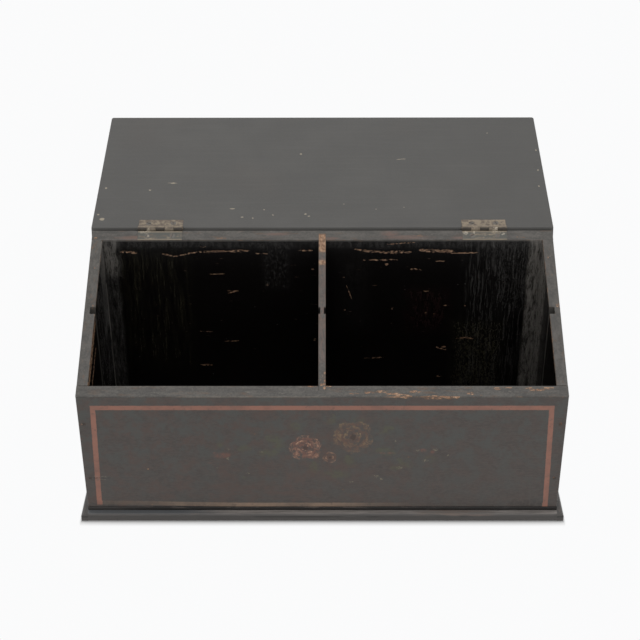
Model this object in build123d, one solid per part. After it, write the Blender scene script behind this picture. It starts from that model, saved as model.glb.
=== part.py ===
from build123d import *
from math import atan2, cos, degrees, radians, sin, tan
import os

# Painted wooden box with a sloping lid, shown with the lid laid back on its stop.
# Millimetres. Z is up, the front faces -Y, and the origin is the middle of the walls' footprint.

# Box body
body_width = 400.0
body_depth = 148.0
front_height = 126.0
back_height = 198.2
board = 9.3
bottom_board = 10.6
arris_radius = 0.7
inner_arris_radius = 0.4
bottom_arris_radius = 1.4
wood_fit = 0.05

# Divider and the grooves for cross partitions
divider_thickness = 6.0
divider_front_housing = 3.9
divider_back_housing = 5.8
partition_groove_width = 6.2
side_groove_depth = 4.6
divider_groove_depth = 1.5

# Base strips
strip_height = 6.9
strip_projection = 5.6
strip_nose_radius = 2.2
strip_foot_radius = 0.8

# Lid
lid_board = 9.3
lid_overhang = 1.3
lid_gap = 0.2
lid_corner_radius = 2.0
lid_open_rise = 10.7
lid_rest_gap = 0.15

# Hinges, each placed by the distance from the body's end to the middle of its barrel
hinge_length = 38.5
hinge_inset = 59.0
barrel_radius = 2.35
pin_radius = 1.15
pin_clearance = 0.04
pin_projection = 0.4
leaf_width = 12.0
leaf_thickness = 1.2
knuckle_count = 5
knuckle_gap = 0.2
mortise_clearance = 0.1
barrel_clearance = 0.3

# Hinge screws with blunt ends, whose heads are as deep as the leaf is thick
screw_spacing = 21.5
screw_from_axis = 7.4
screw_length = 7.2
screw_shank_radius = 1.2
screw_shank_sides = 8
screw_head_radius = 2.4
screw_slot_width = 0.6
screw_slot_depth = 0.5
screw_slot_angles = (25.0, 75.0)
screw_fit = 0.02

# Square cut nails in the boards, and finer brads in the base strips
nail_width = 1.6
nail_head_width = 2.6
nail_length = 26.0
brad_width = 1.2
brad_head_width = 1.8
brad_length = 14.0
nail_head_height = 0.6
nail_set = 0.1
nail_fit = 0.02
corner_nail_first = 42.0
corner_nail_pitch = 56.5
front_nail_count = 2
back_nail_count = 3
bottom_nail_count = 4
front_strip_nail_count = 5
side_strip_nail_count = 3
nail_end_margin = 25.0

# How far a cutting shape runs past the surface that it cuts
overcut = 1.0

# Values worked out from the sizes above
half_width = body_width / 2
half_depth = body_depth / 2
slope = atan2(back_height - front_height, body_depth)
open_rise = radians(lid_open_rise)
lid_edge = lid_board / cos(slope)
inner_half_width = half_width - board
inner_half_depth = half_depth - board
strip_nail_height = strip_height / 2
slope_degrees = degrees(slope)
slope_axis = Axis((0, 0, 0), (0, cos(slope), sin(slope)))

# The hinge axis lies beyond the back board's top arris by just enough for the lid's back edge
# to meet the back board's outer face when the lid is laid back.
lid_stop_reach = lid_edge * sin(slope - open_rise) + lid_rest_gap
axis_beyond_arris = lid_stop_reach / (cos(slope) + cos(open_rise))
axis_lift = lid_gap / 2
hinge_y = half_depth + axis_beyond_arris * cos(slope) - axis_lift * sin(slope)
hinge_z = back_height + axis_beyond_arris * sin(slope) + axis_lift * cos(slope)
closing_turn = 180.0 + slope_degrees - lid_open_rise
hinge_centres = {"left": hinge_inset - half_width, "right": half_width - hinge_inset}
long_nail = (nail_length, nail_width, nail_head_width)
brad = (brad_length, brad_width, brad_head_width)


def slope_height(y):
    """Height of the sloping top plane over a depth y."""
    return front_height + (y + half_depth) * tan(slope)


def prism_x(points, length):
    """Solid of a depth-height outline, with its length centred across the box."""
    face = make_face(Polyline(*[(0, y, z) for y, z in points], close=True).edges())
    return extrude(face, amount=length / 2, dir=(1, 0, 0), both=True)


def block(x0, x1, y0, y1, z0, z1):
    """Rectangular solid between two opposite corners."""
    middle = ((x0 + x1) / 2, (y0 + y1) / 2, (z0 + z1) / 2)
    return Pos(*middle) * Box(x1 - x0, y1 - y0, z1 - z0)


def rod(radius, start, direction, length):
    """Round bar from a start point along a direction."""
    plane = Plane(origin=start, z_dir=direction)
    return extrude(plane * Circle(radius), amount=length)


def square_bar(width, start, direction, length):
    """Square bar from a start point along a direction."""
    plane = Plane(origin=start, z_dir=direction)
    return extrude(plane * Rectangle(width, width), amount=length)


def as_group(solids):
    """Several separate solids kept together as one node."""
    return Compound(children=list(solids))


def wall_profile(y0, y1):
    """Outline of a wall between two depths, from the bottom board up to the slope."""
    return [(y0, bottom_board), (y1, bottom_board), (y1, slope_height(y1)), (y0, slope_height(y0))]


# Nails: each is a square shank with a flat square head, and leaves a hole of its own shape in the wood.
def nail(start, direction, length, width, head_width, fit=0.0):
    """Nail whose head is set just under the surface that it was driven into."""
    step = Vector(*direction).normalized()
    head_top = Vector(*start) + step * (nail_set if fit == 0.0 else 0.0)
    head_end = Vector(*start) + step * (nail_set + nail_head_height + fit)
    head = square_bar(head_width + 2 * fit, head_top, step, (head_end - head_top).length)
    shank = square_bar(width + 2 * fit, head_end, step, length + fit)
    return head + shank


def spread(low, high, count):
    """Evenly spread places from low to high, both ends included."""
    return [low + (high - low) * k / (count - 1) for k in range(count)]


nail_places = {
    "front_nails": [],
    "back_nails": [],
    "bottom_nails": [],
    "strip_nails": [],
}
side_middle = half_width - board / 2
for side in (-1, 1):
    for k in range(front_nail_count):
        place = (side * side_middle, -half_depth, corner_nail_first + k * corner_nail_pitch)
        nail_places["front_nails"].append((place, (0, 1, 0), *long_nail))
    for k in range(back_nail_count):
        place = (side * side_middle, half_depth, corner_nail_first + k * corner_nail_pitch)
        nail_places["back_nails"].append((place, (0, -1, 0), *long_nail))
    for y in spread(-half_depth + 2 * nail_end_margin, half_depth - 2 * nail_end_margin, 2):
        place = (side * side_middle, y, 0)
        nail_places["bottom_nails"].append((place, (0, 0, 1), *long_nail))
    for y in spread(-half_depth + nail_end_margin, half_depth - nail_end_margin, side_strip_nail_count):
        place = (side * (half_width + strip_projection), y, strip_nail_height)
        nail_places["strip_nails"].append((place, (-side, 0, 0), *brad))
for y in (-half_depth + board / 2, half_depth - board / 2):
    for x in spread(-half_width + 2 * nail_end_margin, half_width - 2 * nail_end_margin, bottom_nail_count):
        nail_places["bottom_nails"].append(((x, y, 0), (0, 0, 1), *long_nail))
for x in spread(-half_width + nail_end_margin, half_width - nail_end_margin, front_strip_nail_count):
    place = (x, -half_depth - strip_projection, strip_nail_height)
    nail_places["strip_nails"].append((place, (0, 1, 0), *brad))


def drilled(solid, *groups):
    """The solid with the holes of the named groups of nails."""
    holes = [nail(*place, fit=nail_fit) for name in groups for place in nail_places[name]]
    return solid - holes


# Hinges: the barrel is centred on the hinge axis, and the leaves lie each side of the slope plane.
# A hinge is drawn with both leaves closed on each other, its axis on the X axis and the leaves along -Y.
def knuckle_spans():
    """Start and end of each knuckle along the barrel."""
    pitch = (hinge_length + knuckle_gap) / knuckle_count
    start = -hinge_length / 2
    return [(start + k * pitch, start + (k + 1) * pitch - knuckle_gap) for k in range(knuckle_count)]


def screw_places():
    """Places of a leaf's screws: along the barrel, and away from it."""
    return [(x, -screw_from_axis) for x in (-screw_spacing / 2, screw_spacing / 2)]


def screw_form(x, y, way, fit=0.0):
    """Countersunk screw with its face in the leaf's face, driven up for a way of 1 and down for -1."""
    head_radius, shank_radius = screw_head_radius + fit, screw_shank_radius + fit
    profile = [(0, 0), (head_radius, 0), (shank_radius, leaf_thickness), (0, leaf_thickness)]
    outline = make_face(Polyline(*[(r, 0, way * depth) for r, depth in profile], close=True).edges())
    shank = RegularPolygon(shank_radius, screw_shank_sides)
    screw = revolve(outline, Axis.Z) + extrude(shank, amount=way * (screw_length + fit))
    return Pos(x, y, way * axis_lift) * screw


def hinge_leaf(way):
    """One leaf with its knuckles: the lid's leaf for a way of 1, with knuckles one, three and five."""
    levels = sorted((way * axis_lift, way * (axis_lift + leaf_thickness)))
    plate_edge = -barrel_radius - knuckle_gap
    leaf = block(-hinge_length / 2, hinge_length / 2, -leaf_width, plate_edge, *levels)
    for x0, x1 in knuckle_spans()[(1 - way) // 2::2]:
        roll = rod(barrel_radius, (x0, 0, 0), (1, 0, 0), x1 - x0)
        web = block(x0, x1, plate_edge, 0, *levels)
        leaf = leaf + (roll + web)
    leaf = leaf - rod(pin_radius + pin_clearance, (-hinge_length, 0, 0), (1, 0, 0), 2 * hinge_length)
    return leaf - [screw_form(x, y, way, screw_fit) for x, y in screw_places()]


def hinge_screws(way):
    """The two slotted screws of a leaf."""
    screws = []
    for (x, y), angle in zip(screw_places(), screw_slot_angles):
        slot = Box(2 * (screw_head_radius + overcut), screw_slot_width, 2 * screw_slot_depth)
        placed_slot = Pos(x, y, way * axis_lift) * Rot(0, 0, angle) * slot
        screws.append(screw_form(x, y, way) - placed_slot)
    return as_group(screws)


def hinge_pin():
    """Pin through all the knuckles, whose ends stand just proud of them."""
    reach = hinge_length / 2 + pin_projection
    return rod(pin_radius, (-reach, 0, 0), (1, 0, 0), 2 * reach)


def hinge_recess(way):
    """Wood cut away for a leaf, its screws and the barrel."""
    levels = sorted((way * (axis_lift - overcut), way * (axis_lift + leaf_thickness + mortise_clearance)))
    half = hinge_length / 2 + mortise_clearance
    room = block(-half, half, -leaf_width - mortise_clearance, barrel_radius, *levels)
    barrel_reach = half + pin_projection
    barrel = rod(barrel_radius + barrel_clearance, (-barrel_reach, 0, 0), (1, 0, 0), 2 * barrel_reach)
    return room + barrel + [screw_form(x, y, way, screw_fit) for x, y in screw_places()]


def closed_place(x):
    """Place of a closed hinge on the slope."""
    return Pos(x, hinge_y, hinge_z) * Rot(slope_degrees, 0, 0)


def opened(shape):
    """A piece of the lid turned back from closed to its rest on the stop."""
    return shape.rotate(Axis((0, hinge_y, hinge_z), (1, 0, 0)), -closing_turn)


# Boards of the body
def top_edge(wall, face):
    """Long top edge of a cross board: of its front face for 0, or of its back face for -1."""
    return wall.edges().filter_by(Axis.X).group_by(Axis.Y)[face].sort_by(Axis.Z)[-1]


def foot_edge(wall):
    """Long bottom edge of the front face of a cross board."""
    return wall.edges().filter_by(Axis.X).group_by(Axis.Y)[0].sort_by(Axis.Z)[0]


def end_edges(wall, face):
    """Upright end edges of a cross board, chosen in the same way."""
    return wall.edges().filter_by(Axis.Z).group_by(Axis.Y)[face]


def front_board():
    """Front board with its bevelled top edge and the housing for the divider."""
    wall = prism_x(wall_profile(-half_depth, -inner_half_depth), body_width)
    wall = fillet(top_edge(wall, -1), inner_arris_radius)
    wall = fillet([*end_edges(wall, 0), top_edge(wall, 0), foot_edge(wall)], arris_radius)
    reach = divider_thickness / 2 + wood_fit
    housing_end = inner_half_depth + divider_front_housing + wood_fit
    wall = wall - block(-reach, reach, -housing_end, 0, 0, back_height)
    return drilled(wall, "front_nails", "bottom_nails", "strip_nails")


def back_board():
    """Back board with its bevelled top edge, the divider's housing and the hinge mortises."""
    wall = prism_x(wall_profile(inner_half_depth, half_depth), body_width)
    wall = fillet(top_edge(wall, 0), inner_arris_radius)
    wall = fillet([*end_edges(wall, -1), top_edge(wall, -1)], arris_radius)
    reach = divider_thickness / 2 + wood_fit
    housing_end = inner_half_depth + divider_back_housing + wood_fit
    wall = wall - block(-reach, reach, 0, housing_end, 0, back_height)
    for x in hinge_centres.values():
        wall = wall - closed_place(x) * hinge_recess(-1)
    return drilled(wall, "back_nails", "bottom_nails")


def side_board(side):
    """Side board between front and back, with an upright groove for the cross partition."""
    wall = prism_x(wall_profile(-inner_half_depth, inner_half_depth), board)
    wall = Pos(side * side_middle, 0, 0) * fillet(wall.edges().filter_by(slope_axis), arris_radius)
    inner = side * inner_half_width
    groove_faces = sorted((inner - side * overcut, inner + side * side_groove_depth))
    half_groove = partition_groove_width / 2
    wall = wall - block(*groove_faces, -half_groove, half_groove, 0, back_height)
    return drilled(wall, "front_nails", "back_nails", "bottom_nails", "strip_nails")


def divider_board():
    """Thin divider housed in the front and back boards, with a shallow groove on each face."""
    y0 = -inner_half_depth - divider_front_housing
    y1 = inner_half_depth + divider_back_housing
    wall = prism_x(wall_profile(y0, y1), divider_thickness)
    wall = fillet(wall.edges().filter_by(slope_axis), inner_arris_radius)
    half_groove = partition_groove_width / 2
    for side in (-1, 1):
        face = side * divider_thickness / 2
        groove_faces = sorted((face + side * overcut, face - side * divider_groove_depth))
        wall = wall - block(*groove_faces, -half_groove, half_groove, 0, back_height)
    return wall


def base():
    """Bottom board under the four walls, whose rounded front edge shows as an open joint."""
    bottom = block(-half_width, half_width, -half_depth, half_depth, 0, bottom_board)
    bottom = fillet(top_edge(bottom, 0), bottom_arris_radius)
    return drilled(bottom, "bottom_nails", "strip_nails")


# Base strips
def strip_section(plane):
    """Section of a base strip: its flat back on the plane's Y axis, and a rounded nose towards its +X."""
    corners = [(0, 0), (strip_projection, 0), (strip_projection, strip_height), (0, strip_height)]
    section = make_face(Polyline(*corners, close=True).edges())
    nose = section.vertices().sort_by(lambda v: -(v.X + v.Y))[0]
    section = fillet(nose, strip_nose_radius)
    foot = section.vertices().sort_by(lambda v: -(v.X - v.Y))[0]
    section = fillet(foot, strip_foot_radius)
    return plane * section


def front_strip():
    """Front base strip, between the ends of the side strips."""
    plane = Plane(origin=(-half_width, -half_depth, 0), x_dir=(0, -1, 0), z_dir=(-1, 0, 0))
    strip = extrude(strip_section(plane), amount=-body_width)
    return drilled(strip, "strip_nails")


def side_strip(side):
    """Side base strip, running past the end of the front strip."""
    start = (side * half_width, -half_depth - strip_projection, 0)
    plane = Plane(origin=start, x_dir=(side, 0, 0), z_dir=(0, -side, 0))
    strip = extrude(strip_section(plane), amount=-side * (body_depth + strip_projection))
    return drilled(strip, "strip_nails")


# Lid, drawn closed and then laid back
def lid_panel():
    """Lid board with upright front and back edges, mortised for the hinge leaves."""
    lift = lid_gap / cos(slope)
    under_side = [(y, slope_height(y) + lift) for y in (-half_depth, half_depth)]
    upper_side = [(y, z + lid_edge) for y, z in reversed(under_side)]
    panel = prism_x(under_side + upper_side, body_width + 2 * lid_overhang)
    corners = panel.edges().filter_by(Axis.Z).group_by(Axis.Y)[0]
    panel = fillet(corners, lid_corner_radius)
    outer_face = panel.faces().sort_by(lambda f: f.center().Z - f.center().Y * tan(slope))[-1]
    panel = fillet(outer_face.edges(), arris_radius)
    for x in hinge_centres.values():
        panel = panel - closed_place(x) * hinge_recess(1)
    return panel


parts = {
    "front_board": front_board(),
    "back_board": back_board(),
    "left_side": side_board(-1),
    "right_side": side_board(1),
    "divider": divider_board(),
    "bottom_board": base(),
    "base_strip_front": front_strip(),
    "base_strip_left": side_strip(-1),
    "base_strip_right": side_strip(1),
    "lid_panel": opened(lid_panel()),
}
for name, x in hinge_centres.items():
    parts[f"hinge_{name}_box_leaf"] = closed_place(x) * hinge_leaf(-1)
    parts[f"hinge_{name}_lid_leaf"] = opened(closed_place(x) * hinge_leaf(1))
    parts[f"hinge_{name}_pin"] = closed_place(x) * hinge_pin()
    parts[f"hinge_{name}_box_screws"] = closed_place(x) * hinge_screws(-1)
    parts[f"hinge_{name}_lid_screws"] = opened(closed_place(x) * hinge_screws(1))
for name, places in nail_places.items():
    parts[name] = as_group(nail(*place) for place in places)

os.makedirs("parts", exist_ok=True)
for name, shape in parts.items():
    export_step(shape, f"parts/{name}.step")

print("slope", round(slope_degrees, 2), "closing turn", round(closing_turn, 3))
print("hinge axis y", round(hinge_y, 4), "z", round(hinge_z, 4))
print("axis beyond the arris", round(axis_beyond_arris, 3))
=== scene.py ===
"""The looks of a painted wooden letter box with a sloping lid, two compartments and butt hinges."""

from math import cos, radians, sin, tau

import bmesh
import bpy
from bpy.props import FloatProperty, FloatVectorProperty, PointerProperty
from mathutils import Matrix, Vector


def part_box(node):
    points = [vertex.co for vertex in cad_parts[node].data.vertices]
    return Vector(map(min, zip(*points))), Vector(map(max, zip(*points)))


bl_info = {
    "name": "Painted Letter Box",
    "version": (1, 1, 0),
    "blender": (4, 5, 0),
    "location": "View3D > Sidebar > Letter Box",
    "description": "Paints and lights a wooden letter box around its packed frame",
    "category": "Object",
}

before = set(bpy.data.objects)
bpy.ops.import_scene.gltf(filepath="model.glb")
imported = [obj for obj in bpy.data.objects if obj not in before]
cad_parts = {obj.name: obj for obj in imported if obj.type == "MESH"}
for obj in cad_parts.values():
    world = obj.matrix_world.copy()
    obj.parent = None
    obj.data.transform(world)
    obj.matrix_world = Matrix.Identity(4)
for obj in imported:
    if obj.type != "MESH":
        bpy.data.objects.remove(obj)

MM = 0.001
ACROSS, DEEP, UP = 0, 1, 2
ALONG = Vector((1, 0, 0))
KNUCKLES = 5
# How closely the grain of wood and brushed paint lies along the board and across it
GRAIN = (14.0, 420.0)

# Main planes of the box, taken from the frame
front_low, front_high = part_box("front_board")
back_low, back_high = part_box("back_board")
lid_low, lid_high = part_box("lid_panel")
divider_low, divider_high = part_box("divider")
base_low, base_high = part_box("base_strip_front")
half_width = front_high.x
front_face = front_low.y
front_inner = front_high.y
back_face = back_high.y
back_inner = back_low.y
board = front_high.y - front_low.y
slope_rise = (back_high.z - front_high.z) / (back_face - front_inner)
front_top = front_high.z - board * slope_rise
back_top_inner = back_high.z - board * slope_rise
side_inner = half_width - board
SLOPE = Vector((0, 1, slope_rise)).normalized()
hinge_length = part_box("hinge_left_lid_leaf")[1].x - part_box("hinge_left_lid_leaf")[0].x
knuckle_length = hinge_length / KNUCKLES
pin_back = (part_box("hinge_left_pin")[0].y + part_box("hinge_left_pin")[1].y) / 2


def shade(name, about, colour):
    """One colour of the box."""
    kind = {"subtype": "COLOR", "size": 3, "min": 0, "max": 1}
    return FloatVectorProperty(name=name, description=about, default=colour, **kind)


def share(name, about, value):
    """One amount from none to full."""
    return FloatProperty(name=name, description=about, subtype="FACTOR", min=0, max=1, default=value)


def length(name, about, value):
    """One length in metres."""
    return FloatProperty(name=name, description=about, unit="LENGTH", min=0, default=value)


class LetterBoxPaint(bpy.types.PropertyGroup):
    """Colours of the paint and of the wood under it."""

    lid: shade("Lid", "Satin black of the lid", (0.0635, 0.0612, 0.0570))
    outside: shade("Outside", "Black of the sides and the back", (0.062, 0.058, 0.052))
    front: shade("Front", "Brownish black of the front board", (0.0445, 0.036, 0.0313))
    ruddy: shade("Front, ruddy", "Redder patches of the front board", (0.077, 0.0470, 0.0370))
    greenish: shade("Front, greenish", "Greener patches of the front board", (0.0575, 0.0605, 0.0550))
    edges: shade("Top edges", "Rubbed grey of the sloping top edges", (0.062, 0.0565, 0.0495))
    inside: shade("Inside", "Glossy black inside the compartments", (0.0026, 0.0021, 0.0019))
    strips: shade("Base strips", "Black of the base strips", (0.056, 0.051, 0.0475))
    # Also serves as painted shade along the foot of the boards and at the front edge of the bottom board
    grime_and_painted_shade: shade("Grime", "Old dirt in the joints", (0.006, 0.0045, 0.0035))
    dust: shade("Dust", "Grey bloom on the inner walls", (0.20, 0.19, 0.18))
    chalk: shade("Pale dust", "Thick dust in the corners", (0.42, 0.39, 0.35))
    olive: shade("Olive stain", "Yellowish stain on the inner walls", (0.060, 0.054, 0.030))
    plum: shade("Plum stain", "Dark red stain on the inner walls", (0.020, 0.004, 0.004))
    brown: shade("Brown bloom", "Brown that shows through thin paint", (0.120, 0.068, 0.038))
    bare_light: shade("Bare wood, light", "Fresh scars in the wood", (0.44, 0.275, 0.170))
    bare_dark: shade("Bare wood, dark", "Old scars in the wood", (0.150, 0.070, 0.034))
    rubbed: shade("Rubbed arris", "Pale line where an arris is polished", (0.20, 0.175, 0.145))
    handled: shade("Handled", "Reddish brown where hands have held the back's top", (0.150, 0.088, 0.068))
    speck: shade("Speck", "Pale specks in the paint", (0.36, 0.31, 0.235))
    # Made paler as painted light, as the strip's top lies in shade
    slate: shade("Slate", "Cleaner grey at the left end of the front strip", (0.100, 0.105, 0.110))
    # Also a painted highlight on the upper rim of the bottom board's front edge
    scuff_and_highlight: shade("Scuff", "Tan scuffs on the front strip", (0.150, 0.112, 0.092))
    wear: share("Wear", "How far the arrises are rubbed down to the wood", 0.5)


class LetterBoxBorder(bpy.types.PropertyGroup):
    """The painted line round the front board."""

    red: shade("Line", "Faded brick red of the line", (0.284, 0.127, 0.0885))
    tan: shade("Foot of the line", "Browner paint of the lower run", (0.270, 0.185, 0.128))
    width: length("Line width", "Width of the painted line", 4.3 * MM)
    top: length("Inset at the top", "From the board's end to the line at its upper corners", 10.9 * MM)
    foot: length("Inset at the foot", "From the board's end to the line at its lower corners", 7.9 * MM)
    drop: length("Below the top", "From the board's top to the line", 8.8 * MM)
    lift: length("Above the floor", "From the floor to the line", 10.8 * MM)
    stray: length("Rise at the left", "How far the lower run climbs at its left end", 2.3 * MM)


class LetterBoxRoses(bpy.types.PropertyGroup):
    """The faded pair of roses on the front board."""

    pink: shade("Pink", "Palest petals of the left rose", (0.72, 0.43, 0.27))
    pink_shadow: shade("Pink, shadow", "Shaded petals of the left rose", (0.145, 0.066, 0.048))
    tan: shade("Tan", "Palest petals of the right rose", (0.44, 0.32, 0.15))
    tan_shadow: shade("Tan, shadow", "Shaded petals of the right rose", (0.115, 0.060, 0.040))
    leaf: shade("Leaf", "Leaves and stems", (0.072, 0.072, 0.040))
    fleck: shade("Fleck", "Pale touches beside the leaves", (0.120, 0.104, 0.074))
    glint: shade("Fleck, strongest", "Palest touches beside the leaves", (0.185, 0.155, 0.110))
    strength: share("Strength", "How much of the flowers is left", 1.0)
    left_size: length("Left rose", "Width of the left rose", 27 * MM)
    right_size: length("Right rose", "Width of the right rose", 34 * MM)
    bud_size: length("Bud", "Width of the bud", 13 * MM)


class LetterBoxMetal(bpy.types.PropertyGroup):
    """Hinges, screws and nails."""

    brass: shade("Brass", "Rubbed brass", (0.265, 0.215, 0.155))
    tarnish: shade("Tarnish", "Brown film on the brass", (0.130, 0.100, 0.075))
    smear: shade("Paint smear", "Grey green paint dragged over the box leaves", (0.078, 0.078, 0.068))
    pale: shade("Pale smear", "Cream paint left on the leaves", (0.56, 0.50, 0.40))
    steel: shade("Screws", "Dull screw heads", (0.13, 0.122, 0.108))
    iron: shade("Nails", "Dark nail heads", (0.045, 0.036, 0.030))
    rust: shade("Rust", "Rust on the nails", (0.16, 0.075, 0.036))


class LetterBoxStage(bpy.types.PropertyGroup):
    """Floor, light and camera."""

    white: shade("Background", "White that the camera sees round the box", (0.962, 0.964, 0.968))
    sky: share("Sky", "Level of the soft light all round", 0.70)
    lamp: FloatProperty(
        name="Lamp", description="Power of the soft lamp above", unit="POWER", min=0, default=9.0
    )
    lens: FloatProperty(name="Lens", description="Focal length", unit="CAMERA", min=1, default=79.849)


KINDS = {"number": "NodeSocketFloat", "place": "NodeSocketVector", "colour": "NodeSocketColor"}


class Wiring:
    """Adds nodes to one tree and joins them.

    No node clamps and no colour feeds a place. Cycles adds nodes of its own for both, and a long
    material then runs out of its stack and renders black.
    """

    def __init__(self, tree):
        self.tree = tree

    def add(self, kind, **settings):
        node = self.tree.nodes.new(kind)
        for key, value in settings.items():
            setattr(node, key, value)
        return node

    def feed(self, socket, value):
        if isinstance(value, bpy.types.NodeSocket):
            self.tree.links.new(value, socket)
        elif socket.type == "RGBA":
            socket.default_value = (*value, 1.0)[:4]
        else:
            socket.default_value = value

    def sum(self, operation, *values):
        node = self.add("ShaderNodeMath", operation=operation)
        for socket, value in zip(node.inputs, values):
            self.feed(socket, value)
        return node.outputs[0]

    def move(self, operation, *values):
        node = self.add("ShaderNodeVectorMath", operation=operation)
        for socket, value in zip(node.inputs, values):
            self.feed(socket, value)
        return node.outputs["Value" if operation in ("LENGTH", "DISTANCE", "DOT_PRODUCT") else "Vector"]

    def scaled(self, place, amount):
        node = self.add("ShaderNodeVectorMath", operation="SCALE")
        self.feed(node.inputs[0], place)
        self.feed(node.inputs["Scale"], amount)
        return node.outputs[0]

    def apart(self, place):
        node = self.add("ShaderNodeSeparateXYZ")
        self.feed(node.inputs[0], place)
        return node.outputs

    def tones(self, colour):
        node = self.add("ShaderNodeSeparateColor")
        self.feed(node.inputs[0], colour)
        return node.outputs

    def together(self, x, y, z):
        node = self.add("ShaderNodeCombineXYZ")
        for socket, value in zip(node.inputs, (x, y, z)):
            self.feed(socket, value)
        return node.outputs[0]

    def blend(self, amount, under, over):
        node = self.add("ShaderNodeMix", data_type="RGBA")
        self.feed(node.inputs[0], amount)
        self.feed(node.inputs[6], under)
        self.feed(node.inputs[7], over)
        return node.outputs[2]

    def step(self, value, start, end, low=0.0, high=1.0):
        """A smooth change from low to high as the value goes from start to end."""
        node = self.add("ShaderNodeMapRange", interpolation_type="SMOOTHSTEP", clamp=False)
        for socket, number in zip(node.inputs, (value, start, end, low, high)):
            self.feed(socket, number)
        return node.outputs[0]

    def within(self, value, low, high, soft):
        """One between low and high, in millimetres, with soft ends."""
        rise = self.step(value, (low - soft) * MM, (low + soft) * MM)
        return self.sum("MULTIPLY", rise, self.step(value, (high + soft) * MM, (high - soft) * MM))

    def noise(self, place, scale, detail=3.0, rough=0.55, colour=False):
        node = self.add("ShaderNodeTexNoise")
        self.feed(node.inputs["Vector"], place)
        self.feed(node.inputs["Scale"], scale)
        self.feed(node.inputs["Detail"], detail)
        self.feed(node.inputs["Roughness"], rough)
        return node.outputs[1 if colour else 0]

    def use(self, group, **values):
        node = self.add("ShaderNodeGroup", node_tree=bpy.data.node_groups[group])
        for label, value in values.items():
            self.feed(node.inputs[label.capitalize()], value)
        return node.outputs

    def all_of(self, *masks):
        total = masks[0]
        for mask in masks[1:]:
            total = self.sum("MULTIPLY", total, mask)
        return total

    def any_of(self, *masks):
        total = masks[0]
        for mask in masks[1:]:
            total = self.sum("MAXIMUM", total, mask)
        return total


def effect(name, inputs, outputs):
    """An empty shader node group with its named sockets."""
    tree = bpy.data.node_groups.new(name, "ShaderNodeTree")
    for side, sockets in (("INPUT", inputs), ("OUTPUT", outputs)):
        for label, kind in sockets.items():
            tree.interface.new_socket(name=label, in_out=side, socket_type=KINDS[kind])
    wires = Wiring(tree)
    return wires, wires.add("NodeGroupInput").outputs, wires.add("NodeGroupOutput").inputs


def make_ragged_place():
    """Shifts places a little so that every edge drawn on them is ragged."""
    inputs = {"Place": "place", "Scale": "number", "Amount": "number"}
    w, given, out = effect("Ragged Place", inputs, {"Place": "place"})
    tones = w.tones(w.noise(given["Place"], given["Scale"], detail=3.0, rough=0.6, colour=True))
    drift = w.move("SUBTRACT", w.together(*tones), (0.5, 0.5, 0.5))
    w.feed(out["Place"], w.move("ADD", given["Place"], w.scaled(drift, given["Amount"])))


def make_arris_distance():
    """Distance from a straight arris."""
    inputs = {"Place": "place", "Point": "place", "Direction": "place"}
    w, given, out = effect("Arris Distance", inputs, {"Distance": "number"})
    away = w.move("SUBTRACT", given["Place"], given["Point"])
    w.feed(out["Distance"], w.move("LENGTH", w.move("CROSS_PRODUCT", away, given["Direction"])))


def make_worn_edge():
    """Rubbing that thins out with distance from an arris: thin paint, and bare wood inside it."""
    inputs = {
        "Place": "place",
        "Distance": "number",
        "Reach": "number",
        "Scale": "number",
        "Amount": "number",
    }
    w, given, out = effect("Worn Edge", inputs, {"Thin": "number", "Gone": "number"})
    grain = w.noise(given["Place"], given["Scale"], detail=5.0, rough=0.65)
    left = w.sum("SUBTRACT", grain, w.sum("DIVIDE", given["Distance"], given["Reach"]))
    level = w.sum("ADD", left, given["Amount"])
    w.feed(out["Thin"], w.step(level, 0.46, 0.54))
    w.feed(out["Gone"], w.step(level, 0.54, 0.64))


def make_broken_mark():
    """Breaks a soft mark up along the grain: thin paint, and bare wood inside it."""
    inputs = {"Place": "place", "Mark": "number"}
    w, given, out = effect("Broken Mark", inputs, {"Thin": "number", "Gone": "number"})
    grain = w.step(w.noise(given["Place"], 1.0, detail=5.0, rough=0.75), 0.45, 0.60)
    level = w.sum("MULTIPLY", given["Mark"], w.sum("MULTIPLY_ADD", grain, 0.95, 0.10))
    w.feed(out["Thin"], w.step(level, 0.22, 0.36))
    w.feed(out["Gone"], w.step(level, 0.42, 0.60))


def make_paint_film():
    """Old brushed paint: cloudy, streaked along the board and slightly uneven in gloss."""
    inputs = {
        "Place": "place",
        "Grain": "place",
        "Paint": "colour",
        "Faded": "colour",
        "Cloud": "number",
        "Streak": "number",
    }
    w, given, out = effect("Paint Film", inputs, {"Color": "colour", "Gloss": "number", "Height": "number"})
    cloud = w.step(w.noise(given["Place"], 22.0, detail=5.0, rough=0.6), 0.38, 0.72)
    drawn = w.move("MULTIPLY", given["Place"], given["Grain"])
    brushed = w.noise(drawn, 1.0, detail=4.0, rough=0.6)
    pores = w.noise(drawn, 2.6, detail=2.0, rough=0.5)
    thin = w.sum("MULTIPLY", cloud, given["Cloud"])
    lined = w.sum("MULTIPLY", w.step(brushed, 0.42, 0.75), given["Streak"])
    faded = w.sum("MINIMUM", w.sum("ADD", thin, lined), 1.0)
    w.feed(out["Color"], w.blend(faded, given["Paint"], given["Faded"]))
    w.feed(out["Gloss"], w.sum("ADD", w.sum("MULTIPLY", cloud, 0.6), w.sum("MULTIPLY", brushed, 0.4)))
    w.feed(out["Height"], w.sum("ADD", w.sum("MULTIPLY", brushed, 0.6), w.sum("MULTIPLY", pores, 0.4)))


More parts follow.
